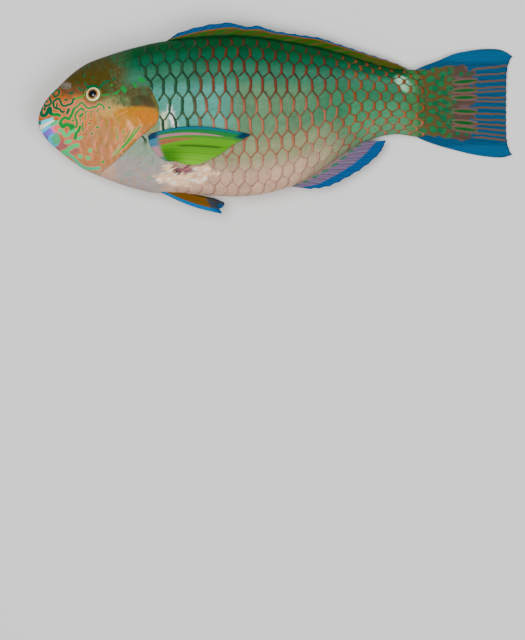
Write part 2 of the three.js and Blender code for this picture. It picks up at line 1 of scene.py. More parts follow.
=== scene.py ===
"""A terminal-male rivulated parrotfish, life size, lying on its right flank and seen from straight above.

Lengths are in millimetres until a mesh is made. +X runs from snout to tail, +Y from belly to back and +Z
out of the left flank.
"""
from __future__ import annotations

import logging
import math
from dataclasses import dataclass, field
from enum import Enum
from typing import Callable, ClassVar, Sequence

import bpy
import numpy as np
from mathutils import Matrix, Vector

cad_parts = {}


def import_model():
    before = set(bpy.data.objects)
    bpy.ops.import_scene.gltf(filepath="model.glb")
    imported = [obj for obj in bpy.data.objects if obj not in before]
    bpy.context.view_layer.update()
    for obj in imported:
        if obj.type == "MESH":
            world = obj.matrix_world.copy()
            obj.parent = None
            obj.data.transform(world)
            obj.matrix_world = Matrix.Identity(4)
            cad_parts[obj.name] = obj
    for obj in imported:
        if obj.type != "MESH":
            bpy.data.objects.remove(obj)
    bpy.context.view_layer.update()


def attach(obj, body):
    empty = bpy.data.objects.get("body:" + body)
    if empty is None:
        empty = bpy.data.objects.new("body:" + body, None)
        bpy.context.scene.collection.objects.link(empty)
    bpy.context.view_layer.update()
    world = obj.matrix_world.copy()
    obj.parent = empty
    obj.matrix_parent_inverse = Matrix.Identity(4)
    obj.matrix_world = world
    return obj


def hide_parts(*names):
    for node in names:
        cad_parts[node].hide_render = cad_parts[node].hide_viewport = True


LOG = logging.getLogger("parrotfish")
MM = 0.001
Array = np.ndarray
Points = Sequence[tuple[float, ...]]
Pair = tuple[float, float]
Curve = Callable[[np.ndarray], np.ndarray]
Faces = list[tuple[int, ...]]
GREY = np.array([0.3, 0.5, 0.2])
SHOWN_CHROMA = 1.1
SHOWN_BLACK = 0.07
SHOWN_RANGE = 0.74
SHOWN_BEND = 1.1


class Side(Enum):
    """The two flanks of the fish."""

    LEFT = 1
    RIGHT = -1


def colour(code: str) -> Array:
    """The paint that shows as a display colour such as "ff8800" in the studio.

    Args:
        code: the display colour, two digits each for red, green and blue.

    Returns:
        The paint in linear red, green and blue. The studio pales and lifts a paint, and this takes it back.
    """
    shown = np.array([int(code[i : i + 2], 16) / 255 for i in (0, 2, 4)])
    grey = shown @ GREY
    wanted = np.clip((grey + SHOWN_CHROMA * (shown - grey) - SHOWN_BLACK) / SHOWN_RANGE, 0, 1)
    values = wanted - SHOWN_BEND * wanted**2 * (1 - wanted)
    return np.where(values <= 0.04045, values / 12.92, ((values + 0.055) / 1.055) ** 2.4)


def plain(x: Array, code: str) -> Array:
    """One display colour at every point of x."""
    return np.zeros(np.shape(x) + (3,)) + colour(code)


def ease(t: Array) -> Array:
    """A smooth step from 0 to 1."""
    t = np.clip(t, 0, 1)
    return t * t * (3 - 2 * t)


def between(x: Array, low: float, high: float, soft: float) -> Array:
    """1 where x lies between low and high, falling off over the length soft outside."""
    return ease((x - low) / soft + 1) * ease((high - x) / soft + 1)


def spot(x: Array, y: Array, centre: Pair, radii: Pair, soft: float = 0.5) -> Array:
    """1 inside an ellipse.

    Args:
        x, y: the points.
        centre: the ellipse's middle.
        radii: its half sizes along x and y.
        soft: the share of its size over which it falls off outside.

    Returns:
        The mask, from 0 to 1.
    """
    reach = np.hypot((x - centre[0]) / radii[0], (y - centre[1]) / radii[1])
    return ease((1 + soft - reach) / soft)


def waves(x: Array, y: Array, length: float, seed: int) -> Array:
    """A fixed, smooth, wandering pattern.

    Args:
        x, y: the points.
        length: the usual size of a feature.
        seed: which pattern.

    Returns:
        Values between about -1 and 1.
    """
    rng = np.random.default_rng(seed)
    total = np.zeros(np.shape(x))
    for _ in range(7):
        turn, phase = rng.uniform(0, 2 * math.pi, 2)
        stretch = rng.uniform(0.7, 1.5)
        along = x * math.cos(turn) + y * math.sin(turn)
        total = total + np.sin(along * 2 * math.pi / (length * stretch) + phase)
    return total / 3.2


def cell_depth(x: Array, y: Array, across: float, up: float, seed: int) -> Array:
    """How far inside its cell of an uneven net each point lies, in millimetres.

    Args:
        x, y: the points.
        across, up: the usual size of a cell.
        seed: which net.

    Returns:
        Half the distance by which the nearest cell middle beats the next one.
    """
    near = np.full(x.shape, 1e6)
    second = np.full(x.shape, 1e6)
    column = np.floor(x / across)
    row = np.floor(y / up)
    for step in range(9):
        a = column + step % 3 - 1
        b = row + step // 3 - 1
        shift = np.sin(a * 12.99 + b * 78.23 + seed)
        middle_x = (a + 0.5 + 0.24 * shift) * across
        middle_y = (b + 0.5 * np.mod(a, 2) + 0.25 + 0.2 * np.sin(shift * 90)) * up
        away = np.hypot(x - middle_x, y - middle_y)
        second = np.minimum(second, np.maximum(near, away))
        near = np.minimum(near, away)
    return (second - near) / 2


def layered(base: Array, over: Array, mask: Array) -> Array:
    """Colour over laid on the colours base where mask is 1."""
    return base * (1 - mask[..., None]) + over * mask[..., None]


def painted(base: Array, layers: Sequence[tuple[str, Array]]) -> Array:
    """Display colours laid over base one after another.

    Args:
        base: the colours below.
        layers: the colour and the mask of each layer, from the lowest up.

    Returns:
        The colours on top.
    """
    for code, mask in layers:
        base = layered(base, colour(code), mask)
    return base


def cell_net(x: Array, y: Array, base: Array, share: Array) -> Array:
    """The brown net round green cells of the tail.

    Args:
        x, y: the points.
        base: the colours below.
        share: 1 where the net shows.

    Returns:
        The colours with the net on top.
    """
    inside = cell_depth(x, y, 7.4, 6.2, 57)
    return painted(base, (
        ("6e5a34", share * 0.75),
        ("34543c", share * ease((inside - 0.5) / 0.5) * 0.7),
        ("2f7a50", share * ease((inside - 0.95) / 0.6)),
    ))


def unwarped(x: Array) -> Array:
    """The key as it is."""
    return x


def smooth_curve(rows: Points, column: int, warp: Curve = unwarped) -> Curve:
    """A curve through rows that never overshoots.

    Args:
        rows: rows of a key and its values, in order of the key.
        column: which value of each row to follow.
        warp: how the key is stretched before the curve is laid.

    Returns:
        A function of the key.
    """
    keys = warp(np.array([row[0] for row in rows], float))
    values = np.array([row[column] for row in rows], float)
    steps = np.diff(values) / np.diff(keys)
    slopes = np.empty(len(keys))
    slopes[0], slopes[-1] = steps[0], steps[-1]
    before, after = steps[:-1], steps[1:]
    same = before * after > 0
    slopes[1:-1] = np.where(same, 2 * before * after / np.where(same, before + after, 1), 0)

    def at(x: Array) -> Array:
        """The curve's value at key x."""
        k = np.clip(warp(np.asarray(x, float)), keys[0], keys[-1])
        i = np.clip(np.searchsorted(keys, k, side="right") - 1, 0, len(keys) - 2)
        span = keys[i + 1] - keys[i]
        t = (k - keys[i]) / span
        t2, t3 = t * t, t * t * t
        start = values[i] * (2 * t3 - 3 * t2 + 1) + slopes[i] * span * (t3 - 2 * t2 + t)
        return start + values[i + 1] * (3 * t2 - 2 * t3) + slopes[i + 1] * span * (t3 - t2)

    return at


def spline(points: Points, t: Array) -> Array:
    """Points at shares t, from 0 to 1, of a rounded curve through the given points."""
    p = np.array(points, float)
    place = np.clip(np.asarray(t, float), 0, 1) * (len(p) - 1)
    i = np.minimum(place.astype(int), len(p) - 2)
    w = (place - i)[..., None]
    p0, p1, p2, p3 = p[np.maximum(i - 1, 0)], p[i], p[i + 1], p[np.minimum(i + 2, len(p) - 1)]
    v0, v1 = (p2 - p0) / 2, (p3 - p1) / 2
    return (2 * p1 - 2 * p2 + v0 + v1) * w**3 + (-3 * p1 + 3 * p2 - 2 * v0 - v1) * w**2 + v0 * w + p1


def distance_to(x: Array, y: Array, line: Points) -> Array:
    """The distance of each point from an open line of straight pieces."""
    best = np.full(np.shape(x), 1e9)
    if len(line) == 1:
        return np.hypot(x - line[0][0], y - line[0][1])
    for (ax, ay), (bx, by) in zip(line[:-1], line[1:]):
        dx, dy = bx - ax, by - ay
        t = np.clip(((x - ax) * dx + (y - ay) * dy) / (dx * dx + dy * dy), 0, 1)
        best = np.minimum(best, np.hypot(x - ax - t * dx, y - ay - t * dy))
    return best


def rounded(line: Points, pieces: int = 4) -> list[Pair]:
    """The same line with its corners rounded."""
    if len(line) < 3:
        return list(line)
    curve = spline(line, np.linspace(0, 1, pieces * (len(line) - 1) + 1))
    return [(float(px), float(py)) for px, py in curve]


@dataclass
class Form:
    """The body's shape, which all other pieces follow."""

    snout_x: float = -175
    end_x: float = 112
    back_roundness: float = 1.2
    belly_roundness: float = 1.06
    floor_blend: float = 1.2
    stations: Points = (
        (-175, -2.5, -2.5, 0), (-173.5, 5, -8, 4.5), (-170, 12, -14.5, 8), (-160, 23, -24, 12.5),
        (-150, 32.5, -32, 16), (-140, 39.5, -38.5, 18.5), (-125, 45.5, -44.8, 21.5), (-105, 51.5, -51.8, 24),
        (-85, 56, -55.8, 25.5), (-60, 59, -56.3, 26), (-30, 60.3, -58, 26), (-15, 59.2, -57, 25.4),
        (10, 55.5, -50.8, 23), (30, 51.8, -40.5, 20), (50, 46.8, -26.5, 16.2), (70, 40.8, -15.5, 12.2),
        (90, 36.2, -11.8, 8.6), (106, 35.6, -13.8, 5.6), (112, 34.5, -13.5, 3.6),
    )
    lie: Points = (
        (-175, 23.4), (-12, 23.4), (23, 20.2), (55, 14.8), (84, 10.2),
        (106, 6.9), (125, 4), (145, 1.9), (162, 0.9), (176, 0.75),
    )
    gill_line: Points = (
        (64, -106), (45, -103), (28, -96), (16, -89.5), (6, -86), (-2, -86.5),
        (-8.5, -92), (-15, -100), (-23, -108), (-32.5, -118), (-40, -127), (-52, -134), (-64, -135),
    )

    def __post_init__(self) -> None:
        """Lays the curves."""
        self.back = smooth_curve(self.stations, 1, self.from_snout)
        self.belly = smooth_curve(self.stations, 2, self.from_snout)
        self.half_width = smooth_curve(self.stations, 3, self.from_snout)
        self.middle_height = smooth_curve(self.lie, 1)
        self.gill_x = smooth_curve(tuple(sorted(self.gill_line)), 1)

    def from_snout(self, x: Array) -> Array:
        """The way from the snout, from 0 to 1, stretched near the snout so that it comes out round."""
        return np.sqrt(np.maximum(x - self.snout_x, 0) / (self.end_x - self.snout_x))

    def height_at(self, x: Array, v: Array) -> Array:
        """The height in side view at share v of the half depth."""
        return (self.back(x) + self.belly(x)) / 2 + v * (self.back(x) - self.belly(x)) / 2

    def roundness(self, v: Array) -> Array:
        """How keeled the section is at share v of the half depth."""
        return np.where(v > 0, self.back_roundness, self.belly_roundness) / 2

    def rise(self, x: Array, y: Array) -> Array:
        """The flank's height over the middle plane at (x, y)."""
        v = self.share(x, y)
        return self.half_width(x) * (1 - v * v) ** self.roundness(v)

    def point(self, x: Array, v: Array, side: Array, grow: Array) -> Array:
        """A point of the body's surface.

        Args:
            x: length along the fish.
            v: share of the half depth, 1 on the back and -1 on the belly.
            side: 1 on the left flank and -1 on the right one.
            grow: how far the point stands out of the plain surface.

        Returns:
            The points, three numbers each.
        """
        half = (self.back(x) - self.belly(x)) / 2
        y = (self.back(x) + self.belly(x)) / 2 + (half + grow) * v
        swell = np.maximum(self.half_width(x) + grow, 0) * (1 - v * v) ** self.roundness(v)
        z = self.middle_height(x) + side * swell
        return np.stack([x + 0 * z, y + 0 * z, np.where(side < 0, self.pressed(z, grow), z)], -1)

    def pressed(self, z: Array, grow: Array = 0) -> Array:
        """Heights pressed flat on to the floor.

        Args:
            z: the heights.
            grow: how far the points stand out of the plain surface.

        Returns:
            The heights, none under the floor, and what lies under the scales a little above it.
        """
        level = z + self.floor_blend
        soft = np.where(z <= -self.floor_blend, 0, level**2 / (4 * self.floor_blend))
        flat = np.where(z >= self.floor_blend, z, soft)
        return np.maximum(flat, 0.12 * np.clip(-np.asarray(grow), 0, 1))

    def share(self, x: Array, y: Array) -> Array:
        """The share of the half depth at which (x, y) lies."""
        half = np.maximum((self.back(x) - self.belly(x)) / 2, 1e-6)
        return np.clip((y - (self.back(x) + self.belly(x)) / 2) / half, -1, 1)

    def behind_gill(self, x: Array, y: Array) -> Array:
        """How far (x, y) lies behind the gill opening, negative on the head."""
        return x - self.gill_x(y)


@dataclass(frozen=True)
class Finish:
    """A wet natural surface whose colour is carried by the mesh."""

    name: str
    roughness: float = 0.42
    coat: float = 0.01
    coat_roughness: float = 0.16
    specular: float = 0.03
    grain: float = 0.1
    grain_size: float = 900
    relief: float = 0.15
    relief_size: float = 700
    relief_depth: float = 0.0004
    outline: float = 0.6
    outline_width: float = 0.34
    line_edge: Pair = (0.02, 0.26)
    hem_edge: Pair = (0.6, 0.95)

    def node(self, tree: bpy.types.NodeTree, kind: str, **inputs: float) -> bpy.types.Node:
        """A new node with the named inputs set."""
        made = tree.nodes.new(kind)
        for name, value in inputs.items():
            made.inputs[name].default_value = value
        return made

    def attribute(self, tree: bpy.types.NodeTree, name: str, output: str) -> bpy.types.NodeSocket:
        """An attribute of the mesh, as a colour or as a number."""
        made = tree.nodes.new("ShaderNodeAttribute")
        made.attribute_name = name
        return made.outputs[output]

    def noise(self, tree: bpy.types.NodeTree, size: float, detail: float) -> bpy.types.NodeSocket:
        """A fine pattern that stays in place on the fish."""
        place = tree.nodes.new("ShaderNodeTexCoord")
        made = self.node(tree, "ShaderNodeTexNoise", Scale=size, Detail=detail)
        tree.links.new(place.outputs["Object"], made.inputs["Vector"])
        return made.outputs["Fac"]

    def reckon(
        self, tree: bpy.types.NodeTree, operation: str, *terms: bpy.types.NodeSocket | float,
    ) -> bpy.types.NodeSocket:
        """The result of one operation of arithmetic on sockets and plain numbers.

        Args:
            tree: the material's nodes and links.
            operation: the operation's name in a math node.
            terms: what it works on, in order.

        Returns:
            The result.
        """
        made = tree.nodes.new("ShaderNodeMath")
        made.operation = operation
        for given, term in zip(made.inputs, terms):
            if isinstance(term, bpy.types.NodeSocket):
                tree.links.new(term, given)
            else:
                given.default_value = term
        return made.outputs["Value"]

    def blend(
        self, tree: bpy.types.NodeTree, base: bpy.types.NodeSocket, over: bpy.types.NodeSocket,
        field_value: bpy.types.NodeSocket, edge: Pair,
    ) -> bpy.types.NodeSocket:
        """Lays one colour over another where a field passes an edge.

        Args:
            tree: the material's nodes and links.
            base: the colour below.
            over: the colour on top.
            field_value: the field.
            edge: the field's values where the top colour starts and where it is full.

        Returns:
            The blended colour.
        """
        step = self.node(tree, "ShaderNodeMapRange", **{"From Min": edge[0], "From Max": edge[1]})
        tree.links.new(field_value, step.inputs["Value"])
        mixed = tree.nodes.new("ShaderNodeMix")
        mixed.data_type = "RGBA"
        tree.links.new(step.outputs["Result"], mixed.inputs[0])
        tree.links.new(base, mixed.inputs[6])
        tree.links.new(over, mixed.inputs[7])
        return mixed.outputs[2]

    def shown(self, tree: bpy.types.NodeTree) -> bpy.types.NodeSocket:
        """The colours of the mesh with the line patches, their dark outlines and the dark hems."""
        line, hem = self.attribute(tree, "line", "Fac"), self.attribute(tree, "hem", "Fac")
        tint, line_tint = self.attribute(tree, "tint", "Color"), self.attribute(tree, "line_tint", "Color")
        colours = self.blend(tree, tint, line_tint, line, self.line_edge)
        dark = self.node(tree, "ShaderNodeHueSaturation", Value=self.outline)
        tree.links.new(colours, dark.inputs["Color"])
        near = self.reckon(tree, "SUBTRACT", self.outline_width, self.reckon(tree, "ABSOLUTE", line))
        has_hem = self.reckon(tree, "GREATER_THAN", self.reckon(tree, "ABSOLUTE", hem), 0.0001)
        rim = self.reckon(tree, "MULTIPLY", near, has_hem)
        colours = self.blend(tree, colours, dark.outputs["Color"], rim, (0.0, self.outline_width))
        return self.blend(tree, colours, dark.outputs["Color"], hem, self.hem_edge)

    def make(self) -> bpy.types.Material:
        """The finish as a material.

        Returns:
            A material that reads the attributes tint, line_tint, line and hem of the mesh.
        """
        made = bpy.data.materials.new(self.name)
        made.use_nodes = True
        tree = made.node_tree
        shader = tree.nodes["Principled BSDF"]
        shader.inputs["Roughness"].default_value = self.roughness
        shader.inputs["Coat Weight"].default_value = self.coat
        shader.inputs["Coat Roughness"].default_value = self.coat_roughness
        shader.inputs["Specular IOR Level"].default_value = self.specular
        darkest, lightest = 1 - self.grain, 1 + self.grain
        bounds = {"From Min": 0.3, "From Max": 0.7, "To Min": darkest, "To Max": lightest}
        value = self.node(tree, "ShaderNodeMapRange", **bounds)
        tree.links.new(self.noise(tree, self.grain_size, 4), value.inputs["Value"])
        shaded = tree.nodes.new("ShaderNodeHueSaturation")
        tree.links.new(value.outputs["Result"], shaded.inputs["Value"])
        tree.links.new(self.shown(tree), shaded.inputs["Color"])
        tree.links.new(shaded.outputs["Color"], shader.inputs["Base Color"])
        bump = self.node(tree, "ShaderNodeBump", Strength=self.relief, Distance=self.relief_depth)
        tree.links.new(self.noise(tree, self.relief_size, 3), bump.inputs["Height"])
        tree.links.new(bump.outputs["Normal"], shader.inputs["Normal"])
        return made


def grid_faces(rows: int, columns: int, closed: bool = False, start: int = 0) -> Faces:
    """Faces of a grid of vertices numbered row by row.

    Args:
        rows: number of rows of vertices.
        columns: number of vertices in a row.
        closed: whether the last column joins the first.
        start: number of the first vertex.

    Returns:
        The faces, wound so that they face out when rows run along +X and columns run down the left side.
    """
    faces = []
    for i in range(rows - 1):
        for j in range(columns if closed else columns - 1):
            k = (j + 1) % columns
            a, b = start + i * columns + j, start + i * columns + k
            faces.append((a, a + columns, b + columns, b))
    return faces


def turned(faces: Faces) -> Faces:
    """The same faces, facing the other way."""
    return [face[::-1] for face in faces]


def slab_faces(rows: int, columns: int, start: int = 0) -> Faces:
    """Faces of a closed slab: a grid of vertices followed by the same grid on its underside.

    Args:
        rows: number of rows of vertices in a grid.
        columns: number of vertices in a row.
        start: number of the first vertex.

    Returns:
        The faces of top, underside and edges, the top facing as in grid_faces.
    """
    top = grid_faces(rows, columns, start=start)
    count = rows * columns
    low = [tuple(k + count for k in face) for face in turned(top)]
    last = start + count - columns
    rim = [(start + j, start + j + 1) for j in range(columns - 1)]
    rim += [(last + j + 1, last + j) for j in range(columns - 1)]
    left = range(start, last, columns)
    rim += [(k + columns, k) for k in left]
    rim += [(k + columns - 1, k + 2 * columns - 1) for k in left]
    return top + low + [(a, b, b + count, a + count) for a, b in rim]


def add_attribute(mesh: bpy.types.Mesh, name: str, values: Array) -> None:
    """Gives each vertex of a mesh a number, or a colour where values has three columns."""
    if values.ndim == 1:
        layer = mesh.attributes.new(name, "FLOAT", "POINT")
        layer.data.foreach_set("value", values.astype(np.float32))
    else:
        full = np.concatenate([np.clip(values, 0, 1), np.ones((len(values), 1))], 1)
        layer = mesh.attributes.new(name, "FLOAT_COLOR", "POINT")
        layer.data.foreach_set("color", full.astype(np.float32).ravel())


def linked(name: str, data: bpy.types.ID) -> bpy.types.Object:
    """A new object of the scene that shows a mesh, a light or a camera."""
    made = bpy.data.objects.new(name, data)
    bpy.context.scene.collection.objects.link(made)
    return made


def piece(
    name: str, points: Array, faces: Faces, finish: bpy.types.Material, attributes: dict[str, Array],
) -> bpy.types.Object:
    """A finished mesh piece of the fish.

    Args:
        name: its name.
        points: its vertices in millimetres.
        faces: its faces.
        finish: its material.
        attributes: values of each vertex, one number or one colour.

    Returns:
        The new object.
    """
    mesh = bpy.data.meshes.new(name)
    mesh.from_pydata((points * MM).tolist(), [], faces)
    for key, values in attributes.items():
        add_attribute(mesh, key, values)
    mesh.shade_smooth()
    mesh.materials.append(finish)
    LOG.info("%s: %d faces", name, len(faces))
    return linked(name, mesh)


def settle(made: bpy.types.Object, slot: str, *nodes: str) -> None:
    """Sets a piece on the fish, in place of the solid nodes that it stands for."""
    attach(made, "root")
    if nodes:
        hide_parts(*nodes)


@dataclass
class Markings:
    """The colours of skin and scales at any point of the flank."""

    form: Form

    def flank(self, x: Array, y: Array) -> Array:
        """The ground colour of the scaled flank, inside the cells.

        Args:
            x, y: the points in side view.

        Returns:
            The colours.
        """
        v = self.form.share(x, y)
        base = painted(plain(x, "6c8c70"), (
            ("3f8062", ease((x - 5) / 45)),
            ("5d9a90", between(x, -100, -42, 20) * between(y, -4, 32, 10)),
            ("45806a", ease((v - 0.3) / 0.2)),
            ("1f6a4c", ease((v - 0.55) / 0.2)),
            ("145c34", ease((v - 0.76) / 0.12)),
            ("96987e", ease((-0.12 - v) / 0.35) * (1 - 0.85 * ease((x - 15) / 45))),
            ("b6a496", ease((-0.5 - v) / 0.3) * (1 - 0.8 * ease((x - 5) / 45))),
            ("4f9070", between(x, 60, 92, 14) * between(y, -14, 8, 9) * 0.75),
            ("a4c0b0", spot(x + 0.6 * (y - 25), y, (95, 25), (4.6, 5.4), 0.4) * 0.85),
            ("4c8452", between(x, 100, 118, 6) * 0.7),
        ))
        return self.rear_net(x, y, self.breast_ground(x, y, base))

    def breast_ground(self, x: Array, y: Array, base: Array) -> Array:
        """The colours of the breast and of the gill's edge.

        Args:
            x, y: the points in side view.
            base: the colours below.

        Returns:
            The colours.
        """
        base = layered(base, colour("9f9c9c"), spot(x, y, (-98, -34), (16, 20), 0.7) * 0.85)
        breast = self.breast(x, y)
        base = painted(base, (
            ("8aa494", breast * ease(waves(x, 0.7 * y, 7, 67) * 1.5 - 0.4) * 0.5),
            ("b49878", breast * ease(waves(x, 0.7 * y, 6, 68) * 1.5 - 0.5) * 0.5),
            ("86a08a", spot(x, y, (-97, -22), (9, 6), 0.8) * 0.6),
            ("8f9560", spot(x, y, (-92, -8), (5, 4), 0.7) * 0.7),
            ("c4c6b4", between(x, -84, -80.5, 1.4) * between(y, -9, 3, 2) * 0.85),
            ("dfe0d6", spot(x + 0.3 * y, y, (-76.2, 0), (1.5, 8), 0.5) * 0.9),
        ))
        mottle = waves(x, y, 7, 41) * 0.06 + waves(x, y, 2.6, 42) * 0.05
        return base * (1 + mottle[..., None])

    def rear_net(self, x: Array, y: Array, base: Array) -> Array:
        """The brown net round green cells that leads over to the tail fin."""
        return cell_net(x, y, base, ease((x - 103) / 4))

    def breast(self, x: Array, y: Array) -> Array:
        """1 on the smooth breast, where no scale edge shows."""
        return ease((-70 - x) / 12) * ease((-16 - y) / 8)

    def net(self, x: Array, y: Array) -> Array:
        """The colour of the slanting lines that join the bars into a net."""
        v = self.form.share(x, y)
        base = painted(plain(x, "5a6a50"), (
            ("2c4a3a", ease((v - 0.25) / 0.25)),
            ("4e7452", ease((x - 40) / 20) * ease((0.7 - v) / 0.2)),
        ))
        return layered(base, self.bars(x, y), ease((-0.15 - v) / 0.2) + 0 * x)

    def bar_width(self, x: Array, y: Array) -> Array:
        """How wide the bar along a scale's hind edge is."""
        v = self.form.share(x, y)
        width = 1.6 + 0.5 * between(x, -55, 40, 15) * between(v, -0.3, 0.75, 0.2)
        return width + 0.6 * ease((-48 - x) / 14) + 0.7 * ease((x - 40) / 20)

    def bars(self, x: Array, y: Array) -> Array:
        """The colour of the bar along each scale's hind edge."""
        v = self.form.share(x, y)
        base = painted(plain(x, "a0745c"), (
            ("7e4838", ease((v - 0.02) / 0.3) * between(x, -55, 40, 15)),
            ("6e3c2c", ease((v - 0.5) / 0.2)),
            ("8c5a38", ease((x - 38) / 20) * ease((v + 0.6) / 0.4)),
            ("36583f", ease((-48 - x) / 16)),
            ("a8806a", ease((-0.3 - v) / 0.25)),
            ("b29c8e", ease((-0.5 - v) / 0.2)),
            ("946440", ease((x - 34) / 20) * ease((-0.2 - v) / 0.15) * 0.8),
        ))
        smooth = self.breast(x, y)
        return base * (1 - smooth[..., None]) + self.flank(x, y) * smooth[..., None]


